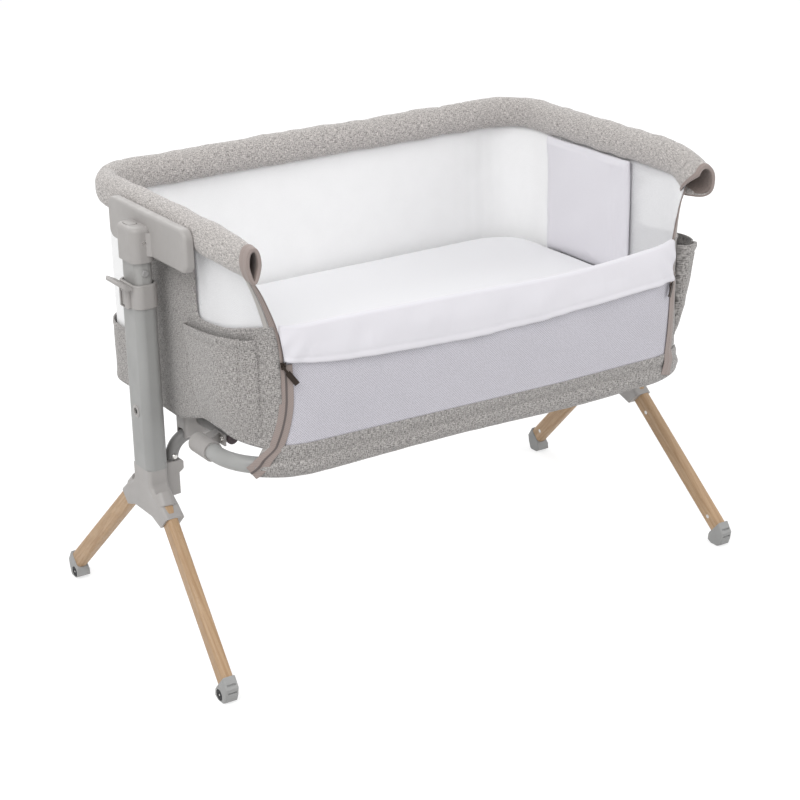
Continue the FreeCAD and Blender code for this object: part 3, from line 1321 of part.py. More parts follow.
def zip_tape():
    """Closed zip up the corner, and its open half along the wing's edge."""
    reach = math.degrees(size("zip_wide") / 2 / size("wall_front_bend"))
    foot, slider = size("seam_height") + 0.8, size("slider_height")
    near, far = 0.3, 1.6
    arcs = [Part.Arc(*[on_corner(out, foot, ZIP_TURN + k * reach) for k in (-1, 0, 1)]).toShape()
            for out in (near, far)]
    ends = [Part.makeLine(on_corner(near, foot, ZIP_TURN + k * reach),
                          on_corner(far, foot, ZIP_TURN + k * reach)) for k in (-1, 1)]
    outline = Part.Wire(Part.__sortEdges__([arcs[0], ends[1], arcs[1], ends[0]]))
    closed = Part.Face(outline).extrude(Vector(0, 0, slider - foot))
    low = [on_corner(near, slider, ZIP_TURN - reach), on_corner(near, slider, ZIP_TURN - 1),
           on_corner(far, slider, ZIP_TURN - 1), on_corner(far, slider, ZIP_TURN - reach)]
    x, y, head = -size("wall_x"), -size("sleeve_end") + 4, size("wall_head") - 22
    top = [Vector(x - near, y + 1, head), Vector(x - near, y - 8, head),
           Vector(x - far, y - 8, head), Vector(x - far, y + 1, head)]
    opened = Part.makeLoft([Part.makePolygon(w + w[:1]) for w in (low, top)], True, True)
    piece = doc.addObject("Part::Feature", "zip_tape_left")
    piece.Shape = closed.fuse(opened)
    return piece


PULL_OUT = 4.2
PULL_DROP = 1.5


def slider_spot():
    """Place and turn of the left zip slider: its own -Y points out of the cloth."""
    return Placement(on_corner(2.4, size("slider_height") - 5),
                     Rotation(Vector(0, 0, 1), -(90 - ZIP_TURN)))


def zip_slider():
    """Slider body on the closed zip, with a bridge and a pin for its pull."""
    body = new_body("zip_slider_body")
    plan = sketch_on(body, "XZ")
    polygon(plan, [(-4.2, 5), (-2.8, -5), (2.8, -5), (4.2, 5)])
    pad(body, plan, 2.6)
    bridge = sketch_on(body, "YZ")
    polygon(bridge, [(-2.5, 4), (-5.2, 2.5), (-5.2, -3.2), (-2.5, -4)])
    pad(body, bridge, 2.2, middle=True)
    pin = rod("zip_slider_pin", 1.2, 5, -2.5, -PULL_OUT, -PULL_DROP, ACROSS)
    whole = fuse("zip_slider_left", body, pin)
    whole.Placement = slider_spot()
    return whole


def zip_pull(label, lean):
    """Leaning pull tab with two ears on the slider's pin."""
    body = new_body(label + "_tab")
    face = sketch_on(body, "XZ")
    lean = math.radians(lean)

    def down(run, across):
        return (run * math.sin(lean) + across * math.cos(lean),
                -run * math.cos(lean) + across * math.sin(lean))

    polygon(face, [(-2.5, 0), (2.5, 0), down(6, 2.8), down(36, 2.8), down(38, 1.8), down(38, -1.8),
                   down(36, -2.8), down(6, -2.8)])
    pad(body, face, 1.4, middle=True)
    barrel = rod(label + "_barrel", 3, 5, -2.5, 0, 0, ACROSS)
    bore = rod(label + "_bore", 1.3, 6, -3, 0, 0, ACROSS)
    gap = block(label + "_gap", 2.5, 6, 6, 0, 0, -3.6)
    pull = cut(label, fuse(label + "_whole", body, barrel), bore, gap)
    pull.Placement = slider_spot() * Placement(Vector(0, -PULL_OUT, -PULL_DROP), Rotation())
    return pull


keep(base_board())
keep(mattress())
both_ends(end_panel(), "end_panel_right")
keep(mesh_wall())
keep(wall("back_band", "0", "wall_foot", "back_band_head", "stay_half + apart"))
keep(front_mesh())
keep(front_flap())
keep(front_band())
keep(inner_flap())
both_ends(pocket_pouch(), "pocket_right")
two_of("zip_tapes", zip_tape())
both_ends(zip_slider(), "zip_slider_right")
keep(zip_pull("zip_pull_left", 39))
keep(mirrored(zip_pull("pull_right_source", 28), "zip_pull_right", ACROSS))


# ---------------------------------------------------------------- output

doc.recompute()
for thing in doc.Objects:
    if {"Invalid", "Error"} & set(thing.State):
        raise RuntimeError(f"{thing.Label}: {thing.State}")
os.makedirs("parts", exist_ok=True)
for piece in PARTS:
    shape = piece.Shape
    if shape.isNull() or not shape.isValid() or not shape.Solids:
        raise RuntimeError(f"{piece.Label} has no sound solid")
    shape.exportStep(f"parts/{piece.Label}.step")
print(len(PARTS), "nodes")
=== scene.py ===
import math

import bmesh
import bpy
from mathutils import Matrix, Vector, noise


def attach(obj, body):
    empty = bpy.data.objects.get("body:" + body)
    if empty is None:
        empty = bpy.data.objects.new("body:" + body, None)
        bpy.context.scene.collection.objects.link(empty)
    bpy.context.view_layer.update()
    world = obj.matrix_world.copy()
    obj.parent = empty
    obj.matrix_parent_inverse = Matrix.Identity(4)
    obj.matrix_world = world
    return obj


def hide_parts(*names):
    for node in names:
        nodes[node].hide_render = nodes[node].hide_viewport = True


# Bedside sleeper crib with its front side let down. Metres, in the frame of
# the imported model: X along the crib, the opened front towards -Y, Z up.

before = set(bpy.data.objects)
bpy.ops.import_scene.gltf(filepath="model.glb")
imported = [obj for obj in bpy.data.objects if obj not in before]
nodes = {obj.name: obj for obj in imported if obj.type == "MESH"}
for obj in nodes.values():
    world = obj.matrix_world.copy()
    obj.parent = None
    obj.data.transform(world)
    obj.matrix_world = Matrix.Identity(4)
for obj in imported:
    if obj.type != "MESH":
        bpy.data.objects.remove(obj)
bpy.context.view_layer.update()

# ---------------------------------------------------------------- camera
# The camera stands in front of the crib's left end and looks a little down.

camera = bpy.data.objects.new("camera", bpy.data.cameras.new("camera"))
bpy.context.collection.objects.link(camera)
camera.data.lens = 93.55
camera.data.sensor_width = 36
yaw, pitch, roll = (math.radians(angle) for angle in (32.177, 20.946, -1.326))
forward = Vector((math.sin(yaw) * math.cos(pitch), math.cos(yaw) * math.cos(pitch), -math.sin(pitch)))
level_right = Vector((math.cos(yaw), -math.sin(yaw), 0))
level_up = level_right.cross(forward)
right = level_right * math.cos(roll) + level_up * math.sin(roll)
up = level_up * math.cos(roll) - level_right * math.sin(roll)
camera.matrix_world = (Matrix.Translation((-1.66297, -2.64689, 1.47760))
                       @ Matrix((right, up, -forward)).transposed().to_4x4())
bpy.context.scene.camera = camera

# ---------------------------------------------------------------- studio
# A white sweep: the floor shows as paper white and keeps a soft shadow.


def new_material(name):
    """Material with its node tree and its main shader."""
    material = bpy.data.materials.new(name)
    material.use_nodes = True
    return material, material.node_tree, material.node_tree.nodes["Principled BSDF"]


def add(tree, kind, settings=None, **inputs):
    """Shader node with its settings and inputs; an input may be a socket to link."""
    node = tree.nodes.new(kind)
    for key, value in (settings or {}).items():
        setattr(node, key, value)
    for key, value in inputs.items():
        socket = node.inputs[int(key[1:])] if key[0] == "_" else node.inputs[key.replace("_", " ")]
        if isinstance(value, bpy.types.NodeSocket):
            tree.links.new(value, socket)
        else:
            socket.default_value = value
    return node


def paper(tree, output, lit):
    """Show white to the camera and to mirrors, and `lit` to everything else."""
    path = add(tree, "ShaderNodeLightPath")
    seen = add(tree, "ShaderNodeMath", {"operation": "MAXIMUM"},
               _0=path.outputs["Is Camera Ray"], _1=path.outputs["Is Glossy Ray"])
    seen = add(tree, "ShaderNodeMath", {"operation": "MAXIMUM"},
               _0=seen.outputs[0], _1=path.outputs["Is Transmission Ray"])
    tree.links.new(lit(seen.outputs[0]), output)


world = bpy.data.worlds.new("studio")
bpy.context.scene.world = world
world.use_nodes = True
sky = world.node_tree
sky.nodes.clear()


def sky_light(seen):
    soft = add(sky, "ShaderNodeBackground", Color=(1, 1, 1, 1), Strength=0.73)
    white = add(sky, "ShaderNodeBackground", Color=(1, 1, 1, 1), Strength=1.0)
    return add(sky, "ShaderNodeMixShader", _0=seen, _1=soft.outputs[0], _2=white.outputs[0]).outputs[0]


paper(sky, add(sky, "ShaderNodeOutputWorld").inputs["Surface"], sky_light)

bm = bmesh.new()
bmesh.ops.create_grid(bm, x_segments=1, y_segments=1, size=7)
floor_mesh = bpy.data.meshes.new("floor")
bm.to_mesh(floor_mesh)
bm.free()
floor = bpy.data.objects.new("floor", floor_mesh)
bpy.context.collection.objects.link(floor)
floor_mesh.transform(Matrix.Translation((0, 0, -0.0005)))
floor_material, floor_tree, floor_shader = new_material("floor_paper")
floor_tree.nodes.remove(floor_shader)


def floor_light(seen):
    matt = add(floor_tree, "ShaderNodeBsdfDiffuse", Color=(0.80, 0.80, 0.80, 1))
    shadowed = add(floor_tree, "ShaderNodeBsdfDiffuse", Color=(0.42, 0.42, 0.42, 1))
    glow = add(floor_tree, "ShaderNodeEmission", Color=(1, 1, 1, 1), Strength=0.69)
    white = add(floor_tree, "ShaderNodeAddShader", _0=shadowed.outputs[0], _1=glow.outputs[0])
    return add(floor_tree, "ShaderNodeMixShader", _0=seen, _1=matt.outputs[0],
               _2=white.outputs[0]).outputs[0]


paper(floor_tree, floor_tree.nodes["Material Output"].inputs["Surface"], floor_light)
floor_mesh.materials.append(floor_material)

for name, place, width, power in (("key_light", (-1.9, -1.2, 2.9), 1.9, 47),
                                  ("fill_light", (2.6, -2.4, 1.9), 2.2, 27),
                                  ("back_light", (0.4, 2.6, 2.4), 2.0, 25)):
    lamp = bpy.data.lights.new(name, "AREA")
    lamp.size = width
    lamp.energy = power
    holder = bpy.data.objects.new(name, lamp)
    bpy.context.collection.objects.link(holder)
    aim = Vector((0, 0, 0.4)) - Vector(place)
    holder.matrix_world = Matrix.Translation(place) @ aim.to_track_quat("-Z", "Y").to_matrix().to_4x4()

bpy.context.scene.view_settings.view_transform = "Standard"

# ---------------------------------------------------------------- posts and bars
# Oval steel tubes, powder coated in satin grey; the tubes under the bed are
# a darker grey. The coat is smooth with a fine orange peel.


def wear_of(tree, scale, low, high, detail=3.0):
    """Noise on object coordinates, spread between two values."""
    place = add(tree, "ShaderNodeTexCoord")
    grain = add(tree, "ShaderNodeTexNoise", Vector=place.outputs["Object"], Scale=scale, Detail=detail)
    return add(tree, "ShaderNodeMapRange", _0=grain.outputs[0], _1=0.3, _2=0.7, _3=low, _4=high).outputs[0]


def shade_between(tree, amount, dark, light):
    """Colour between two, by an amount from 0 to 1."""
    mix = add(tree, "ShaderNodeMix", {"data_type": "RGBA"})
    mix.inputs[6].default_value = (*dark, 1)
    mix.inputs[7].default_value = (*light, 1)
    tree.links.new(amount, mix.inputs[0])
    return mix.outputs[2]


def coated(name, colour, roughness=0.38, metallic=0.0, peel=1400, relief=0.05, spread=0.08):
    """Painted, moulded or bare hard surface with slight variation of tone and gloss."""
    material, tree, shader = new_material(name)
    dark = tuple(c * (1 - spread) for c in colour)
    light = tuple(min(1, c * (1 + spread)) for c in colour)
    tree.links.new(shade_between(tree, wear_of(tree, 9, 0, 1), dark, light), shader.inputs["Base Color"])
    tree.links.new(wear_of(tree, 55, roughness - 0.06, roughness + 0.08), shader.inputs["Roughness"])
    shader.inputs["Metallic"].default_value = metallic
    bump = add(tree, "ShaderNodeBump", Height=wear_of(tree, peel, 0, 1), Strength=relief, Distance=0.0004)
    tree.links.new(bump.outputs[0], shader.inputs["Normal"])
    return material


def dress(material, *names):
    """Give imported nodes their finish."""
    for name in names:
        mesh = nodes[name].data
        mesh.materials.clear()
        mesh.materials.append(material)


dress(coated("satin_grey_paint", (0.315, 0.315, 0.308)), "column_left", "column_right")
dress(coated("bar_grey_paint", (0.36, 0.36, 0.352)), "front_bar")
dress(coated("inner_tube_paint", (0.36, 0.355, 0.345), 0.34), "post_left", "post_right")
dress(coated("dark_grey_paint", (0.24, 0.235, 0.23), 0.42), "crossbar", "base_frame")
dress(coated("bare_rail_steel", (0.48, 0.48, 0.47), 0.32, 0.85), "rail_tube")

# ---------------------------------------------------------------- mouldings
# Nylon mouldings in a light warm grey, with the fine etched texture of the
# tool: latch collars and levers, sockets, foot caps, heads and saddles.

moulded = coated("moulded_grey_nylon", (0.378, 0.361, 0.349), 0.46, 0.0, 2600, 0.16, 0.05)
dress(moulded, "collar_left", "collar_right", "lever_left", "lever_right", "leg_socket_left",
      "leg_socket_right", "sight_eyelets", "head_left", "head_right", "head_tab_left",
      "head_tab_right", "bar_socket_left", "bar_socket_right", "saddles")
dress(coated("foot_nylon", (0.32, 0.32, 0.315), 0.5, 0.0, 2200, 0.22, 0.06), "foot_front_left",
      "foot_front_right", "foot_back_left", "foot_back_right")
dress(coated("button_nylon", (0.33, 0.325, 0.32), 0.35, 0.0, 2600, 0.1, 0.05),
      "snap_button_left", "snap_button_right")
dress(coated("plum_plug_nylon", (0.035, 0.018, 0.022), 0.42, 0.0, 2400, 0.15, 0.2), "base_plugs")

# ---------------------------------------------------------------- fasteners and rollers
# Zinc-plated screws and pins, and small rollers of black rubber.

dress(coated("zinc_plate", (0.62, 0.61, 0.59), 0.26, 1.0, 1800, 0.08, 0.1), "stand_pins", "leg_screws",
      "crossbar_screws", "tilt_pins", "socket_bolts")
dress(coated("roller_rubber", (0.025, 0.025, 0.026), 0.72, 0.0, 900, 0.35, 0.3), "roller_front_left",
      "roller_front_right", "roller_back_left", "roller_back_right")

# ---------------------------------------------------------------- legs
# Solid beech with an oiled face: fine straight grain along each leg and the
# short dark flecks that beech has.

LEG_SLOPE = math.atan2(0.1915, 0.202)


def beech(name, slope):
    """Beech whose grain runs up a leg that leans by `slope` about X."""
    material, tree, shader = new_material(name)
    place = add(tree, "ShaderNodeTexCoord")
    along = add(tree, "ShaderNodeMapping", Vector=place.outputs["Object"], Rotation=(slope, 0, 0))
    streaks = add(tree, "ShaderNodeMapping", Vector=along.outputs[0], Scale=(260, 9, 260))
    grain = add(tree, "ShaderNodeTexNoise", Vector=streaks.outputs[0], Scale=1, Detail=5, Distortion=0.6)
    tone = add(tree, "ShaderNodeMapRange", _0=grain.outputs[0], _1=0.3, _2=0.7, _3=0.0, _4=1.0)
    wood = shade_between(tree, tone.outputs[0], (0.37, 0.228, 0.118), (0.495, 0.342, 0.21))
    flecks_at = add(tree, "ShaderNodeMapping", Vector=along.outputs[0], Scale=(1500, 190, 1500))
    flecks = add(tree, "ShaderNodeTexNoise", Vector=flecks_at.outputs[0], Scale=1, Detail=1)
    spots = add(tree, "ShaderNodeMapRange", _0=flecks.outputs[0], _1=0.62, _2=0.74, _3=0.0, _4=0.55)
    mix = add(tree, "ShaderNodeMix", {"data_type": "RGBA"})
    tree.links.new(spots.outputs[0], mix.inputs[0])
    tree.links.new(wood, mix.inputs[6])
    mix.inputs[7].default_value = (0.30, 0.16, 0.085, 1)
    tree.links.new(mix.outputs[2], shader.inputs["Base Color"])
    tree.links.new(wear_of(tree, 90, 0.42, 0.56), shader.inputs["Roughness"])
    bump = add(tree, "ShaderNodeBump", Height=grain.outputs[0], Strength=0.12, Distance=0.0004)
    tree.links.new(bump.outputs[0], shader.inputs["Normal"])
    return material


dress(beech("beech_front", -LEG_SLOPE), "leg_front_left", "leg_front_right")
dress(beech("beech_back", LEG_SLOPE), "leg_back_left", "leg_back_right")

# ---------------------------------------------------------------- rail cover
# A padded sleeve of heather linen over the steel rail, round the back and both
# ends. It goes on past the rail as an empty hood at each front end, where the
# front bar is plugged in when the side is up.


def finish_linen(name, dark, light, slub=1.0, roughness=0.9):
    """Heather linen: light and dark yarns both ways, read from the piece's own UV in metres."""
    material, tree, shader = new_material(name)
    place = add(tree, "ShaderNodeTexCoord")
    yarns = []
    for scale in ((880 * slub, 105 * slub, 1), (150 * slub, 820 * slub, 1)):
        run = add(tree, "ShaderNodeMapping", Vector=place.outputs["UV"], Scale=scale)
        yarns.append(add(tree, "ShaderNodeTexNoise", Vector=run.outputs[0], Scale=1, Detail=2.5).outputs[0])
    crossed = add(tree, "ShaderNodeMath", {"operation": "ADD"}, _0=yarns[0], _1=yarns[1])
    fleck_at = add(tree, "ShaderNodeMapping", Vector=place.outputs["UV"], Scale=(520 * slub, 520 * slub, 1))
    fleck = add(tree, "ShaderNodeTexNoise", Vector=fleck_at.outputs[0], Scale=1, Detail=3)
    total = add(tree, "ShaderNodeMath", {"operation": "ADD"}, _0=crossed.outputs[0], _1=fleck.outputs[0])
    tone = add(tree, "ShaderNodeMapRange", _0=total.outputs[0], _1=1.23, _2=1.77, _3=0.0, _4=1.0)
    tree.links.new(shade_between(tree, tone.outputs[0], dark, light), shader.inputs["Base Color"])
    shader.inputs["Roughness"].default_value = roughness
    shader.inputs["Sheen Weight"].default_value = 0.25
    shader.inputs["Sheen Roughness"].default_value = 0.5
    bump = add(tree, "ShaderNodeBump", Height=total.outputs[0], Strength=0.55, Distance=0.0007)
    tree.links.new(bump.outputs[0], shader.inputs["Normal"])
    return material


def woven(name, columns, rows, flat, shape, join=False):
    """Cloth as a grid that is carried to shape(across, up).

    Its UV is the flat cloth in metres: `flat` is its size, or gives the place of (across, up).
    """
    bm = bmesh.new()
    bmesh.ops.create_grid(bm, x_segments=columns, y_segments=rows, size=0.5)
    cloth = bm.loops.layers.uv.verify()
    for face in bm.faces:
        for corner in face.loops:
            spot = corner.vert.co
            place = (spot.x + 0.5, spot.y + 0.5)
            corner[cloth].uv = flat(*place) if callable(flat) else (place[0] * flat[0], place[1] * flat[1])
    for vert in bm.verts:
        vert.co = shape(vert.co.x + 0.5, vert.co.y + 0.5)
    if join:
        bmesh.ops.remove_doubles(bm, verts=bm.verts, dist=1e-5)
    bmesh.ops.recalc_face_normals(bm, faces=bm.faces)
    return finished(name, bm)


def finished(name, bm):
    """Object at the origin from a bmesh, smooth shaded."""
    mesh = bpy.data.meshes.new(name)
    for face in bm.faces:
        face.smooth = True
    bm.to_mesh(mesh)
    bm.free()
    piece = bpy.data.objects.new(name, mesh)
    bpy.context.collection.objects.link(piece)
    return piece


def settle(piece, material, thick=0.0, inward=-1.0, body="bed"):
    """Give a piece its finish, its cloth thickness and the body that it rides on."""
    piece.data.materials.append(material)
    if thick:
        wall = piece.modifiers.new("thickness", "SOLIDIFY")
        wall.thickness = thick
        wall.offset = inward
        wall.use_even_offset = False
    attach(piece, body)
    return piece


def round_end(run, reach, end, bend):
    """Point and outward direction on a side that turns into both ends of the crib.

    `run` is measured along the side from its middle, `end` is the side's own Y.
    """
    side, way = math.copysign(1, run), math.copysign(1, end)
    straight = reach - bend
    turn = min(max(0.0, abs(run) - straight) / bend, math.pi / 2)
    rest = max(0.0, abs(run) - straight - bend * math.pi / 2)
    x = min(abs(run), straight) + bend * math.sin(turn)
    y = abs(end) - bend * (1 - math.cos(turn)) - rest
    return Vector((side * x, way * y, 0)), Vector((side * math.sin(turn), way * math.cos(turn), 0))


def soft(spot, size, depth, seed=0.0):
    """Smooth unevenness of cloth: noise of a given wavelength and depth."""
    return depth * noise.noise(Vector(spot) / size + Vector((seed, seed, seed)))


RAIL_REACH, RAIL_BACK, RAIL_BEND = 0.401, 0.237, 0.075
RAIL_HEIGHT, RAIL_STEEL_END, HOOD_END = 0.659, -0.132, -0.280
COVER_HALF = RAIL_REACH - RAIL_BEND * (2 - math.pi / 2) + RAIL_BACK - HOOD_END
COVER_SEAMS = (0.246, 0.292, -0.395, -0.345, 0.60, -0.60)


def hood_share(y):
    """How far a point lies along the empty hood: 0 at the rail's end, 1 at the mouth."""
    return min(1.0, max(0.0, (RAIL_STEEL_END - y) / (RAIL_STEEL_END - HOOD_END)))


def cover_ring(run, turn, grow=0.0):
    """Point on the padded sleeve: `run` along the rail and `turn` round it."""
    middle, out = round_end(run, RAIL_REACH, RAIL_BACK, RAIL_BEND)
    share = hood_share(middle.y)
    slack = share * share
    on_right = middle.x > 0
    c, s = math.cos(turn), math.sin(turn)
    c = math.copysign(abs(c) ** 0.86, c)
    s = math.copysign(abs(s) ** 0.86, s)
    pinch = 0.06 if on_right else 0.46 + 0.22 * max(0.0, -s)
    wide = 0.0192 * (1 - pinch * slack) + grow
    high = 0.0252 * (1 + (0.04 if on_right else -0.04) * slack) + grow
    spot = middle + out * (wide * c) + Vector((0, 0, RAIL_HEIGHT + high * s))
    if on_right:
        under = max(0.0, 0.55 - s) / 1.55
        spot.z -= (0.026 + 0.004 * max(0.0, c)) * slack * share
        spot.y += 0.013 * share + (0.006 + 0.050 * (0.5 - 0.5 * c)) * slack * under
    else:
        spot.z -= 0.009 * slack
    return spot, out


def rail_cover(across, along):
    run = (2 * along - 1) * COVER_HALF
    turn = 2 * math.pi * across
    spot = cover_ring(run, turn)[0]
    middle = round_end(run, RAIL_REACH, RAIL_BACK, RAIL_BEND)[0]
    lean = Vector((spot.x - middle.x, spot.y - middle.y, spot.z - RAIL_HEIGHT)).normalized()
    bulge = soft(spot, 0.045, 0.0024) + soft(spot, 0.017, 0.0010, 3)
    arc = min(max(0.0, abs(run) - RAIL_REACH + RAIL_BEND) / (RAIL_BEND * math.pi / 2), 1.0)
    inside_bend = math.sin(math.pi * arc) * max(0.0, -math.cos(turn))
    bulge -= 0.0016 * inside_bend * (0.5 + 0.5 * math.sin(run * 2 * math.pi / 0.021))
    for seam in COVER_SEAMS:
        bulge -= 0.0016 * math.exp(-((run - seam) / 0.0028) ** 2)
    return spot + lean * bulge


# One heather linen in two copies. The lighter copy, for the sleeve on top, holds painted light. The darker
# copy is painted shade for the end panels, window bindings, pockets and bands, which lie in shade.
heather = finish_linen("heather_linen", (0.17, 0.158, 0.149), (0.71, 0.67, 0.645), 1.30)
heather_painted_shade = finish_linen("heather_linen_painted_shade", (0.105, 0.098, 0.094), (0.54, 0.515, 0.497), 1.30)
cover = woven("rail_cover", 44, 520, (0.142, 2 * COVER_HALF), rail_cover, join=True)
settle(cover, heather, 0.0025)
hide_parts("rail_sleeve")

# ---------------------------------------------------------------- hood mouths
# Each hood is lined with brown-grey cloth and its mouth is bound with the tape
# of the zip that goes on down the side.

TAPE_WIDE = {"left": 0.018, "right": 0.007}


def finish_tape(name, colour, rib=520):
    """Ribbed zip tape, read from the piece's own UV in metres."""
    material, tree, shader = new_material(name)
    place = add(tree, "ShaderNodeTexCoord")
    spread = add(tree, "ShaderNodeMapping", Vector=place.outputs["UV"], Scale=(rib, rib, 1))
    ribs = add(tree, "ShaderNodeTexWave", {"bands_direction": "DIAGONAL"}, Vector=spread.outputs[0],
               Scale=0.32, Distortion=0.8, Detail=1)
    dark = tuple(c * 0.91 for c in colour)
    light = tuple(c * 1.07 for c in colour)
    tree.links.new(shade_between(tree, ribs.outputs[1], dark, light), shader.inputs["Base Color"])
    shader.inputs["Roughness"].default_value = 0.78
    shader.inputs["Sheen Weight"].default_value = 0.2
    bump = add(tree, "ShaderNodeBump", Height=ribs.outputs[1], Strength=0.3, Distance=0.0004)
    tree.links.new(bump.outputs[0], shader.inputs["Normal"])
    return material


taupe = finish_tape("taupe_tape", (0.31, 0.255, 0.235))
lining = finish_linen("brown_grey_lining", (0.17, 0.135, 0.12), (0.27, 0.22, 0.20), 1.6)

for side, end in ((-1, "left"), (1, "right")):
    def mouth_tape(across, along):
        run = side * (COVER_HALF + 0.0012 - along * TAPE_WIDE[end])
        edge = 0.0008 * (1 - abs(2 * along - 1) ** 8) - 0.0007 * math.exp(-((along - 0.5) / 0.05) ** 2)
        return cover_ring(run, 2 * math.pi * across, 0.0012 + edge)[0]

    def hood_lining(across, along):
        return cover_ring(side * (COVER_HALF - along * 0.12), 2 * math.pi * across, -0.0036)[0]

    def mouth_rim(across, along):
        grow = 0.0016 - 0.0052 * along
        return cover_ring(side * (COVER_HALF + 0.0014 * math.sin(math.pi * along)),
                          2 * math.pi * across, grow)[0]

    tape = woven("hood_tape_" + end, 44, 14, (0.142, TAPE_WIDE[end]), mouth_tape, join=True)
    settle(tape, taupe, 0.0009)
    inner = woven("hood_lining_" + end, 44, 18, (0.13, 0.12), hood_lining, join=True)
    settle(inner, lining, 0.0008)
    rim = woven("hood_rim_" + end, 44, 6, (0.142, 0.008), mouth_rim, join=True)
    settle(rim, taupe, 0.0008)

# ---------------------------------------------------------------- zip metal
# Sliders and pulls in dark antique bronze, worn a little brighter in patches.

bronze = coated("antique_bronze", (0.052, 0.038, 0.030), 0.34, 0.75, 1500, 0.12, 0.35)
dress(bronze, "zip_slider_left", "zip_slider_right")

# Each pull is a short broad tab on its slider's pin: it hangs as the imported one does.

PULL_PIN = (0.35017, -0.25761, 0.4875)
PULL_FACES = (0.4305, -0.9026)

for side, end in ((-1, "left"), (1, "right")):
    hinge = Vector((side * PULL_PIN[0], PULL_PIN[1], PULL_PIN[2]))
    hang = max((vert.co - hinge for vert in nodes["zip_pull_" + end].data.vertices),
               key=lambda way: way.length).normalized()
    face = Vector((side * PULL_FACES[0], PULL_FACES[1], 0))
    face = (face - hang * face.dot(hang)).normalized()
    lie = Matrix((face.cross(hang), hang, face)).transposed().to_4x4()
    bm = bmesh.new()
    for wide, long, thick, down in ((0.0082, 0.0225, 0.0018, 0.0205), (0.0034, 0.0100, 0.0013, 0.0055)):
        place = Matrix.Translation(hinge + hang * down) @ lie @ Matrix.Diagonal((wide, long, thick, 1))
        made = bmesh.ops.create_cube(bm, size=1, matrix=place)["verts"]
        rims = list({rim for vert in made for rim in vert.link_edges})
        bmesh.ops.bevel(bm, geom=rims, offset=0.0005, affect="EDGES", segments=2, profile=0.5, material=-1)
    flats = [part for part in bm.faces if part.calc_area() > 1.2e-4]
    bmesh.ops.inset_individual(bm, faces=flats, thickness=0.0011, depth=-0.0003)
    pin_way = face.cross(Vector((0, 0, 1))).to_track_quat("Z", "Y").to_matrix().to_4x4()
    bmesh.ops.create_cone(bm, cap_ends=True, segments=16, radius1=0.0015, radius2=0.0015, depth=0.0068,
                          matrix=Matrix.Translation(hinge) @ pin_way)
    bmesh.ops.recalc_face_normals(bm, faces=bm.faces)
    tab = finished("pull_tab_" + end, bm)
    for polygon in tab.data.polygons:
        polygon.use_smooth = False
    settle(tab, bronze, body=end + "_pull")
    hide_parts("zip_pull_" + end)

# ---------------------------------------------------------------- end panels
# Heather linen round each front corner: low under the end window, up to the
# rail as a stay beside the post, and as a wing as far as the zip.

END_REACH, FRONT_FACE, FRONT_BEND = 0.402, -0.261, 0.096
CORNER_END = END_REACH - FRONT_BEND + FRONT_BEND * math.pi / 2
WING_EDGE = CORNER_END - FRONT_BEND * math.radians(62)
SLIDER_HEIGHT, WALL_HEAD, SEAM = 0.494, 0.634, 0.367


def follow(points, at):
    """Value at a place along (place, value) pairs."""
    for (a, low), (b, high) in zip(points, points[1:]):
        if at <= b:
            break
    return low + (high - low) * min(1.0, max(0.0, (at - a) / (b - a)))


def eased(points, rounds=3):
    """The same run of points with its corners cut off, again and again."""
    for _ in range(rounds):
        cut = [points[0]]
        for a, b in zip(points, points[1:]):
            cut += [tuple(p + (q - p) * t for p, q in zip(a, b)) for t in (0.25, 0.75)]
        points = cut + [points[-1]]
    return points


def trail(points, share):
    """Place and direction at a share of the length of a run of flat points."""
    steps = [math.dist(a, b) for a, b in zip(points, points[1:])]
    left = share * sum(steps)
    for a, b, step in zip(points, points[1:], steps):
        if left <= step or b is points[-1]:
            break
        left -= step
    along = ((b[0] - a[0]) / step, (b[1] - a[1]) / step)
    return (a[0] + along[0] * left, a[1] + along[1] * left), along


def wing_spot(side, run, z, out=0.0):
    """Point on an end's cloth; above the slider the corner straightens towards the rail."""
    low, normal = round_end(side * run, END_REACH, FRONT_FACE, FRONT_BEND)
    lift = min(1.0, max(0.0, (z - SLIDER_HEIGHT) / (WALL_HEAD - SLIDER_HEIGHT)))
    if run < CORNER_END:
        share = (CORNER_END - run) / (CORNER_END - WING_EDGE)
        lift **= 1.8 if side < 0 else 2.8
        low = low.lerp(Vector((side * END_REACH, -0.165 - (0.098 if side < 0 else 0.062) * share, 0)), lift)
        normal = normal.lerp(Vector((side, 0, 0)), lift).normalized()
    return low + normal * out + Vector((0, 0, z))


WINDOW_EDGE = eased([(0.3532, 0.547), (0.40, 0.541), (0.4263, 0.536), (0.4768, 0.530), (0.5038, 0.528),
                     (0.5168, 0.531), (0.5205, 0.546), (0.5212, 0.590), (0.5215, 0.636)])
PANEL_FOOT = ((0.340, 0.360), (0.37, 0.362), (0.40, 0.367), (0.4568, 0.378), (0.5158, 0.376),
              (0.5918, 0.352), (0.722, 0.352))

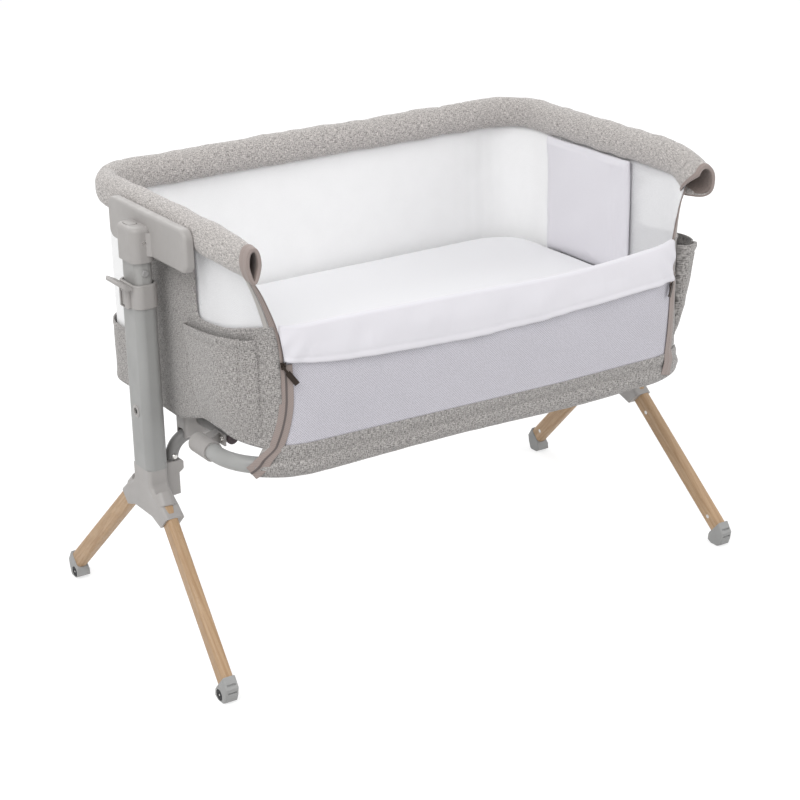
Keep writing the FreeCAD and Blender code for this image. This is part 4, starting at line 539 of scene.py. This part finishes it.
for side, end in ((-1, "left"), (1, "right")):
    def panel_cloth(across, along):
        edge = WING_EDGE - (0.013 * min(1.0, max(0.0, 1 - along / 0.24)) if side > 0 else 0.0)
        return follow(((0, edge), (0.50, 0.5155), (0.56, 0.5213), (1, 0.722)), across), along

    def panel_height(run, along):
        foot = follow(PANEL_FOOT, run)
        top = follow(WINDOW_EDGE + [(0.722, 0.636)], run)
        return foot + (top - foot) * along, top

    def panel(across, along):
        run = panel_cloth(across, along)[0]
        z, top = panel_height(run, along)
        rolled = 0.0008 * math.exp(-((top - z - 0.004) / 0.003) ** 2)
        crease = 0.0014 * math.exp(-((run - 0.40) / 0.03) ** 2) * math.sin((z + 0.5 * run) / 0.0085)
        slack = soft((run, side, z), 0.07, 0.0022) + soft((run, side, z), 0.022, 0.0009, 5)
        return wing_spot(side, run, z, rolled + 0.35 * crease + slack * (1 - along ** 4))

    def panel_uv(across, along):
        run = panel_cloth(across, along)[0]
        return run, panel_height(run, along)[0]

    def window_binding(across, along):
        (run, z), way = trail(WINDOW_EDGE, across)
        turn = 2 * math.pi * along
        lift, out = 0.0026 * math.cos(turn), 0.0004 + 0.0021 * math.sin(turn)
        return wing_spot(side, run - way[1] * lift, z + way[0] * lift, out)

    cloth = woven("panel_" + end, 84, 44, panel_uv, panel)
    settle(cloth, heather_painted_shade, 0.0016)
    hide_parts("end_panel_" + end)
    binding = woven("window_binding_" + end, 120, 10, (0.29, 0.015), window_binding, join=True)
    settle(binding, heather_painted_shade)

# ---------------------------------------------------------------- lining
# White warp-knit mesh behind the panels: it closes the end windows and lines
# the back up to the rail. It is fine and lets light through. The back lining
# is a lighter copy of the window net, with painted light where it lies in the
# rail's shade.


def finish_net(name, colour, pitch, least, most, roughness=0.75):
    """Knitted mesh with small holes on a honeycomb, read from the piece's own UV in metres."""
    material, tree, shader = new_material(name)
    place = add(tree, "ShaderNodeTexCoord")
    spread = add(tree, "ShaderNodeMapping", Vector=place.outputs["UV"], Rotation=(0, 0, 0.785),
                 Scale=(1 / pitch, 1 / pitch, 1))
    cells = add(tree, "ShaderNodeTexVoronoi", Vector=spread.outputs[0], Scale=1, Randomness=0.20)
    hole = add(tree, "ShaderNodeMapRange", _0=cells.outputs[0], _1=0.18, _2=0.46, _3=least, _4=most)
    tree.links.new(hole.outputs[0], shader.inputs["Alpha"])
    slack = wear_of(tree, 26, 0, 1)
    dark = tuple(c * 0.98 for c in colour)
    tree.links.new(shade_between(tree, slack, dark, colour), shader.inputs["Base Color"])
    shader.inputs["Roughness"].default_value = roughness
    shader.inputs["Sheen Weight"].default_value = 0.2
    bump = add(tree, "ShaderNodeBump", Height=cells.outputs[0], Strength=0.35, Distance=0.0004)
    tree.links.new(bump.outputs[0], shader.inputs["Normal"])
    return material


window_net = finish_net("window_net", (0.85, 0.85, 0.86), 0.0017, 0.44, 0.86)
# Painted light: the back lining's white is raised above the window net's, for light that the shaded back
# wall does not get.
lining_net_painted_light = finish_net("lining_net_painted_light", (0.95, 0.95, 0.95), 0.0015, 0.92, 1.0)
BACK_REACH, BACK_FACE, BACK_BEND = 0.402, 0.243, 0.072
BACK_HALF = 0.514

for side, end in ((-1, "left"), (1, "right")):
    def end_lining(across, along):
        run = WING_EDGE - 0.001 + across * (0.722 - WING_EDGE + 0.001)
        foot = max(SEAM, follow(PANEL_FOOT, run)) + 0.0012
        z = foot + along * (WALL_HEAD + 0.001 - foot)
        slack = soft((run, side, z), 0.09, 0.0016) * math.sin(math.pi * along)
        inset = 0.0036 * min(1.0, 0.12 + across / 0.10)
        return wing_spot(side, run, z, min(0.0, slack) * min(1.0, across / 0.10) - inset)

    net = woven("lining_" + end, 46, 34, (0.366, 0.267), end_lining)
    settle(net, window_net, 0.0006)


def back_lining(across, along):
    run = (2 * across - 1) * BACK_HALF
    middle, out = round_end(run, BACK_REACH, BACK_FACE, BACK_BEND)
    z = SEAM + 0.0012 + along * (WALL_HEAD + 0.001 - SEAM - 0.0012)
    slack = 0.0006 + soft((run, 0, z), 0.16, 0.0012) + soft((run, 2, z), 0.06, 0.0003)
    upright = 0.0012 * math.exp(-((abs(run) - 0.33) / 0.05) ** 2) * math.sin(run / 0.0075)
    inset = 0.0036 + slack * math.sin(math.pi * along) + abs(upright) * along
    return middle - out * inset + Vector((0, 0, z))


net = woven("lining_back", 190, 34, (2 * BACK_HALF, 0.267), back_lining)
settle(net, lining_net_painted_light, 0.0006)
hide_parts("mesh_wall")

# ---------------------------------------------------------------- back band
# Heather linen round the foot of the back, as high as the mattress.


def back_cloth(across, along):
    run = (2 * across - 1) * BACK_HALF
    middle, out = round_end(run, BACK_REACH, BACK_FACE, BACK_BEND)
    z = 0.3505 + along * 0.0945
    rolled = 0.0009 * math.exp(-((along - 0.96) / 0.03) ** 2)
    rolled += 0.0009 * math.exp(-((along - 0.04) / 0.03) ** 2)
    slack = soft((run, 0, z), 0.08, 0.0018) + soft((run, 4, z), 0.02, 0.0007)
    return middle + out * (rolled + slack * math.sin(math.pi * along)) + Vector((0, 0, z))


band = woven("back_cloth", 190, 20, (2 * BACK_HALF, 0.0945), back_cloth)
settle(band, heather_painted_shade, 0.0016)
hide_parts("back_band")

# ---------------------------------------------------------------- lowered front
# Open-knit mesh up from the band, with a white cotton hem folded over its top.
# The hem lies loosely and is gathered a little beside the zips.

FRONT_HALF = 0.350
FOLD = eased([(-0.366, 0.546), (-0.276, 0.546), (-0.139, 0.542), (-0.027, 0.539), (0.100, 0.533),
              (0.22, 0.536), (0.343, 0.546)], 2)
HEM = eased([(-0.362, 0.499), (-0.320, 0.489), (-0.279, 0.484), (-0.156, 0.475), (-0.054, 0.470),
             (0.052, 0.470), (0.125, 0.473), (0.334, 0.483)], 2)
FRONT_SEAM = ((-0.36, 0.369), (-0.10, 0.3655), (0.128, 0.362), (0.36, 0.364))


def front_spot(run, z, out):
    middle, normal = round_end(run, END_REACH, FRONT_FACE, FRONT_BEND)
    return middle + normal * out + Vector((0, 0, z))


def front_net(across, along):
    run = (2 * across - 1) * FRONT_HALF
    foot, top = follow(FRONT_SEAM, run) - 0.002, follow(FOLD, run) - 0.0015
    z = foot + along * (top - foot)
    slack = soft((run, 0, z), 0.10, 0.0030) * math.sin(math.pi * along)
    return front_spot(run, z, -0.0004 + min(0.0012, slack))


def finish_cotton(name, colour):
    """Smooth white cotton with a fine plain weave, read from the piece's own UV in metres."""
    material, tree, shader = new_material(name)
    place = add(tree, "ShaderNodeTexCoord")
    weave = add(tree, "ShaderNodeTexNoise", Vector=place.outputs["UV"], Scale=1500, Detail=1)
    dark = tuple(c * 0.97 for c in colour)
    tree.links.new(shade_between(tree, weave.outputs[0], dark, colour), shader.inputs["Base Color"])
    shader.inputs["Roughness"].default_value = 0.82
    shader.inputs["Sheen Weight"].default_value = 0.2
    bump = add(tree, "ShaderNodeBump", Height=weave.outputs[0], Strength=0.18, Distance=0.0003)
    tree.links.new(bump.outputs[0], shader.inputs["Normal"])
    return material


front_knit = finish_net("front_knit", (0.57, 0.555, 0.605), 0.0027, 0.64, 1.0)
cotton = finish_cotton("white_cotton", (0.745, 0.73, 0.77))
net = woven("front_net", 170, 40, (2 * FRONT_HALF, 0.175), front_net)
settle(net, front_knit, 0.0007)
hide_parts("front_mesh")


HEM_HALF = 0.353


def folded_hem(across, along):
    run = (2 * across - 1) * HEM_HALF
    top, foot = follow(FOLD, run) - 0.003, follow(HEM, run)
    end = math.exp(-((HEM_HALF - abs(run)) / 0.030) ** 2)
    if along < 0.34:
        z, out = 0.507 + (top - 0.507) * along / 0.34, -0.0048
    elif along < 0.46:
        angle = math.pi * (along - 0.34) / 0.12
        z, out = top + 0.0042 * math.sin(angle), -0.0048 * math.cos(angle)
    else:
        share = (along - 0.46) / 0.54
        z = top - share * (top - foot)
        run *= 1 - 0.018 * share
        sewn = 0.0007 * math.exp(-((share - 0.95) / 0.05) ** 2)
        sewn -= 0.0006 * math.exp(-((share - 0.84) / 0.018) ** 2)
        waves = soft((run, 0, z), 0.055, 0.0036) + soft((run, 3, 0.3 * z), 0.020, 0.0016)
        pinch = 0.0022 * end * math.sin((run * math.copysign(1, run) + 0.8 * z) / 0.0055)
        out = 0.0048 + 0.0026 * math.sin(math.pi * share) + sewn + (waves + pinch) * min(1, 2.2 * share)
    return front_spot(run, z, max(out, 0.0016) if along > 0.46 else out)


hem = woven("folded_hem", 180, 46, (2 * HEM_HALF, 0.112), folded_hem)
settle(hem, cotton, 0.0009, 0.0)
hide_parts("front_flap")

# ---------------------------------------------------------------- front band
# Heather linen whose lower hem is a tunnel round the parked front bar.

BAR_REACH, BAR_FRONT, BAR_BEND, BAR_HEIGHT = 0.405, -0.246, 0.100, 0.333
BAND_HALF = 0.3835
TUNNEL = 0.0152


def band_skin(run, z, out):
    """Point off the bar's axis; towards the seam it moves onto the front's own curve."""
    middle, normal = round_end(run, BAR_REACH, BAR_FRONT, BAR_BEND)
    low = middle + normal * out
    turn = max(0.0, abs(run) - BAR_REACH + BAR_BEND) / BAR_BEND
    flat = math.copysign(abs(run) if not turn else END_REACH - FRONT_BEND + turn * FRONT_BEND, run)
    high, normal = round_end(flat, END_REACH, FRONT_FACE, FRONT_BEND)
    lift = min(1.0, max(0.0, (z - 0.343) / (SEAM - 0.343)))
    return low.lerp(high + normal * (out - 0.015), lift) + Vector((0, 0, z))


def front_band(across, along):
    run = (2 * across - 1) * BAND_HALF
    top = follow(FRONT_SEAM, run)
    sag = 0.0045 * math.exp(-((run - 0.2) / 0.13) ** 2) + 0.001 * math.sin(run / 0.06)
    first, last = math.radians(42), math.radians(-248)
    if along < 0.20:
        angle, drop = first, 1 - along / 0.20
    else:
        angle, drop = first + (last - first) * (along - 0.20) / 0.80, 0.0
    c, s = math.cos(angle), math.sin(angle)
    out = TUNNEL * math.copysign(abs(c) ** 0.8, c)
    z = BAR_HEIGHT + TUNNEL * math.copysign(abs(s) ** 0.9, s) - sag * max(0.0, 0.4 - s) / 1.4
    z += (top - z) * drop
    out += (0.0150 - out) * min(1.0, 1.8 * drop)
    slack = soft((run, along, 0), 0.05, 0.0016) + soft((run, 2 * along, 3), 0.018, 0.0008)
    out += slack * (1 - drop) * (1 if out > 0 else 0.4)
    return band_skin(run, z, out)


band = woven("front_band_cloth", 180, 44, (2 * BAND_HALF, 0.103), front_band)
settle(band, heather_painted_shade, 0.0014)
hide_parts("front_band")

# ---------------------------------------------------------------- zips
# A taupe zip runs up each front corner. It is closed below the slider and
# hangs open above it, along the wing, with a strip of webbing beside it.

webbing = finish_tape("pale_webbing", (0.44, 0.42, 0.40), 900)
coil_black = finish_tape("zip_coil", (0.12, 0.10, 0.095), 1500)
coil_brown = finish_tape("zip_teeth", (0.20, 0.16, 0.145), 1500)
OPEN_FROM, WEBBING_FROM = 0.489, 0.540
ZIP_WAY = {
    "left": eased([(math.radians(a) * 0.1, z) for a, z in
                   ((66.0, 0.490), (66.4, 0.460), (66.0, 0.426), (62.0, 0.394), (55.3, 0.364),
                    (50.0, 0.341), (45.0, 0.331), (42.0, 0.327))]),
    "right": eased([(math.radians(a) * 0.1, z) for a, z in
                    ((59.0, 0.490), (59.5, 0.460), (60.5, 0.430), (62.5, 0.400), (66.5, 0.364),
                     (72.0, 0.338), (74.0, 0.328))]),
}


def corner_skin(side, arc, z, out):
    """Point on the closed front corner, by arc length from the end's side."""
    turn = arc / 0.1
    wall = Vector((0.306 + (0.096 + out) * math.cos(turn), -0.165 - (0.096 + out) * math.sin(turn), z))
    low = Vector((0.305 + (0.1155 + out) * math.cos(turn), -0.146 - (0.1155 + out) * math.sin(turn), z))
    share = min(1.0, max(0.0, (0.369 - z) / 0.024))
    spot = wall.lerp(low, share * share * (3 - 2 * share))
    spot.x *= side
    return spot


for side, end in ((-1, "left"), (1, "right")):
    def closed_zip(across, along):
        (arc, z), way = trail(ZIP_WAY[end], along)
        off = (across - 0.5) * 0.021
        ridge = 0.0016 + 0.0008 * math.exp(-(off / 0.0022) ** 2) - 0.0005 * abs(across - 0.5)
        return corner_skin(side, arc - way[1] * off, z + way[0] * off, ridge)

    def zip_coil(across, along):
        (arc, z), way = trail(ZIP_WAY[end], along)
        turn = 2 * math.pi * across
        off = 0.0016 * math.cos(turn)
        return corner_skin(side, arc - way[1] * off, z + way[0] * off, 0.0024 + 0.0008 * math.sin(turn))

    def open_zip(across, along):
        z = OPEN_FROM + along * (WALL_HEAD + 0.002 - OPEN_FROM)
        run = WING_EDGE + (across - 0.35) * 0.0100
        wave = 0.0006 * math.sin(z / 0.011)
        return wing_spot(side, run, z, 0.0011 + wave * (1 - across))

    def open_coil(across, along):
        z = OPEN_FROM + along * (WALL_HEAD + 0.002 - OPEN_FROM)
        turn = 2 * math.pi * across
        run = WING_EDGE - 0.0036 + 0.0013 * math.cos(turn)
        return wing_spot(side, run, z, 0.0010 + 0.0006 * math.sin(z / 0.011) + 0.0010 * math.sin(turn))

    def webbing_strip(across, along):
        z = WEBBING_FROM + along * (WALL_HEAD - WEBBING_FROM)
        run = WING_EDGE + 0.0075 + across * 0.0076
        return wing_spot(side, run, z, 0.0018 + 0.0004 * math.sin(math.pi * across))

    tape = woven("zip_closed_" + end, 18, 90, (0.021, 0.172), closed_zip)
    settle(tape, taupe, 0.0008)
    if side < 0:
        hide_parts("zip_tapes")
    coil = woven("zip_coil_" + end, 8, 90, (0.0075, 0.172), zip_coil, join=True)
    settle(coil, coil_black)
    upper = woven("zip_open_" + end, 10, 60, (0.0100, 0.155), open_zip)
    settle(upper, taupe, 0.0008)
    edge = woven("zip_teeth_" + end, 8, 60, (0.0072, 0.155), open_coil, join=True)
    settle(edge, coil_brown)
    strip = woven("webbing_" + end, 6, 40, (0.0100, 0.094), webbing_strip)
    settle(strip, webbing, 0.0010)

# ---------------------------------------------------------------- pockets
# An open heather pouch on each end, from beside the post round onto the corner,
# with a turned hem that sags and a pleat at its front edge.

POCKET_FRONT, POCKET_BACK, POCKET_FOOT = 0.383, 0.5518, 0.3808
POCKET_TOP = eased([(0.383, 0.529), (0.405, 0.5275), (0.43, 0.5265), (0.4568, 0.5235), (0.50, 0.5185),
                    (0.5518, 0.5150)])

for side, end in ((-1, "left"), (1, "right")):
    def pouch_cloth(across, along):
        return (0.5 - 0.5 * math.cos(math.pi * across)) * 0.177, along * 0.142

    def pouch(across, along):
        across = 0.5 - 0.5 * math.cos(math.pi * across)
        back = POCKET_BACK - 0.034 * (1 - along)
        run = back + across * (POCKET_FRONT - back)
        top = follow(POCKET_TOP, run)
        z = POCKET_FOOT + (top - POCKET_FOOT) * along
        edge = max(0.0, 1 - abs(2 * across - 1) ** 16) ** 0.5
        full = 0.0112 * edge * min(1.0, along / 0.30) ** 0.55
        if side > 0:
            full += 0.0190 * edge * along ** 1.2
        pleat = 0.0040 * math.exp(-((across - 0.885) / 0.014) ** 2)
        pleat -= 0.0034 * math.exp(-((across - 0.845) / 0.014) ** 2)
        sewn = 0.0013 * math.exp(-((along - 0.955) / 0.030) ** 2)
        sewn -= 0.0012 * math.exp(-((along - 0.90) / 0.009) ** 2)
        slack = soft((run, side, z), 0.06, 0.0026) + soft((run, side, z), 0.019, 0.0009, 2)
        return wing_spot(side, run, z, max(0.0012, full + (pleat * along + sewn + slack) * edge))

    cloth = woven("pouch_" + end, 110, 80, pouch_cloth, pouch)
    settle(cloth, heather_painted_shade, 0.0018)
    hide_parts("pocket_" + end)

# ---------------------------------------------------------------- base board
# Board under the mattress in a white cover with eased edges.


def slab(name, box, corner, edge, steps):
    """Closed slab with round corners and eased edges, between two (x, y, z) corners."""
    bm = bmesh.new()
    bmesh.ops.create_cube(bm, size=1)
    low, high = (Vector(p) for p in box)
    for vert in bm.verts:
        vert.co = Vector((a + (b - a) * (v + 0.5) for a, b, v in zip(low, high, vert.co)))
    thin = min(range(3), key=lambda k: high[k] - low[k])
    posts = [e for e in bm.edges if abs((e.verts[0].co - e.verts[1].co)[thin]) > 1e-4]
    bmesh.ops.bevel(bm, geom=posts, offset=corner, affect="EDGES", segments=steps, profile=0.5, material=-1)
    rims = [e for e in bm.edges if len(e.link_faces) == 2
            and e.calc_face_angle(0) > 1.2 and abs((e.verts[0].co - e.verts[1].co)[thin]) < 1e-5]
    bmesh.ops.bevel(bm, geom=rims, offset=edge, affect="EDGES", segments=3, profile=0.5, material=-1)
    bmesh.ops.recalc_face_normals(bm, faces=bm.faces)
    return finished(name, bm)


def finish_ticking(name, colour):
    """White cover cloth read from object coordinates, for pieces that have no UV."""
    material, tree, shader = new_material(name)
    dark = tuple(c * 0.97 for c in colour)
    tone = shade_between(tree, wear_of(tree, 900, 0, 1, 1), dark, colour)
    tree.links.new(tone, shader.inputs["Base Color"])
    shader.inputs["Roughness"].default_value = 0.85
    shader.inputs["Sheen Weight"].default_value = 0.2
    bump = add(tree, "ShaderNodeBump", Height=wear_of(tree, 1300, 0, 1, 1), Strength=0.15, Distance=0.0003)
    tree.links.new(bump.outputs[0], shader.inputs["Normal"])
    return material


ticking = finish_ticking("white_ticking", (0.83, 0.83, 0.85))
BOARD_FOOT, BOARD_TOP = 0.3512, 0.3687
board = slab("board_cover", ((-0.3956, -0.2548, BOARD_FOOT), (0.3956, 0.2368, BOARD_TOP)), 0.070, 0.003, 10)
for vert in board.data.vertices:
    under = max(0.0, BOARD_TOP - vert.co.z) / (BOARD_TOP - BOARD_FOOT)
    vert.co.x *= 1 - 0.085 * under
    vert.co.y -= (vert.co.y + 0.009) * 0.12 * under
settle(board, ticking)
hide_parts("base_board")

# ---------------------------------------------------------------- mattress
# A firm foam pad in a white cover. The cover is blown up by cloth simulation,
# with its travel capped, so that it crowns a little and rounds at the edges.


SWELL_FRAMES = 20


def swell(piece, voxel, pressure, cap):
    """Blow a closed cover up by cloth simulation and keep the result as its mesh."""
    scene = bpy.context.scene
    skin = piece.modifiers.new("skin", "REMESH")
    skin.mode = "VOXEL"
    skin.voxel_size = voxel
    depsgraph = bpy.context.evaluated_depsgraph_get()
    start = bpy.data.meshes.new_from_object(piece.evaluated_get(depsgraph))
    piece.modifiers.clear()
    piece.data = start
    cloth = piece.modifiers.new("cloth", "CLOTH")
    cloth.settings.use_pressure = True
    cloth.settings.uniform_pressure_force = pressure
    cloth.settings.effector_weights.gravity = 0
    cloth.settings.tension_stiffness = cloth.settings.compression_stiffness = 25
    cloth.point_cache.frame_start, cloth.point_cache.frame_end = 1, SWELL_FRAMES
    for number in range(1, SWELL_FRAMES + 1):
        scene.frame_set(number)
    depsgraph = bpy.context.evaluated_depsgraph_get()
    blown = bpy.data.meshes.new_from_object(piece.evaluated_get(depsgraph))
    for vert, first in zip(blown.vertices, start.vertices):
        move = vert.co - first.co
        if move.length > cap:
            vert.co = first.co + move.normalized() * cap
    piece.modifiers.clear()
    piece.data = blown
    blown.name = piece.name
    scene.frame_set(1)
    for polygon in blown.polygons:
        polygon.use_smooth = True
    finer = piece.modifiers.new("finer", "SUBSURF")
    finer.levels = finer.render_levels = 1


pad = slab("mattress_cover", ((-0.3885, -0.2485, 0.3735), (0.3885, 0.2305, 0.4445)), 0.078, 0.012, 10)
swell(pad, 0.008, 4.0, 0.0045)
for vert in pad.data.vertices:
    inward = max(0.0, 1 - (vert.co.x / 0.39) ** 4) * max(0.0, 1 - (vert.co.y / 0.25) ** 4)
    if vert.co.z > 0.43:
        vert.co.z += 0.0035 * inward + soft(vert.co, 0.12, 0.0012)
settle(pad, ticking)
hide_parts("mattress")

# ---------------------------------------------------------------- inner flap
# A padded white flap hangs from the rail inside the right end and hides part
# of the window. Its front edge is drawn up in upright creases.

flap = slab("padded_flap", ((0.3895, -0.100, 0.4300), (0.3952, 0.134, 0.6385)), 0.006, 0.0022, 3)
swell(flap, 0.005, 4.0, 0.0035)
for vert in flap.data.vertices:
    y, z = vert.co.y, vert.co.z
    drawn = math.exp(-((y + 0.085) / 0.028) ** 2)
    folds = 0.0016 * drawn * math.sin(y / 0.0035 + 2.0 * math.sin(z / 0.05)) + soft((0, y, z), 0.05, 0.0024)
    folds -= 0.0010 * math.exp(-((z - 0.622) / 0.0018) ** 2)
    vert.co.x += min(0.0008, folds) - 0.001
settle(flap, cotton)
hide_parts("inner_flap")
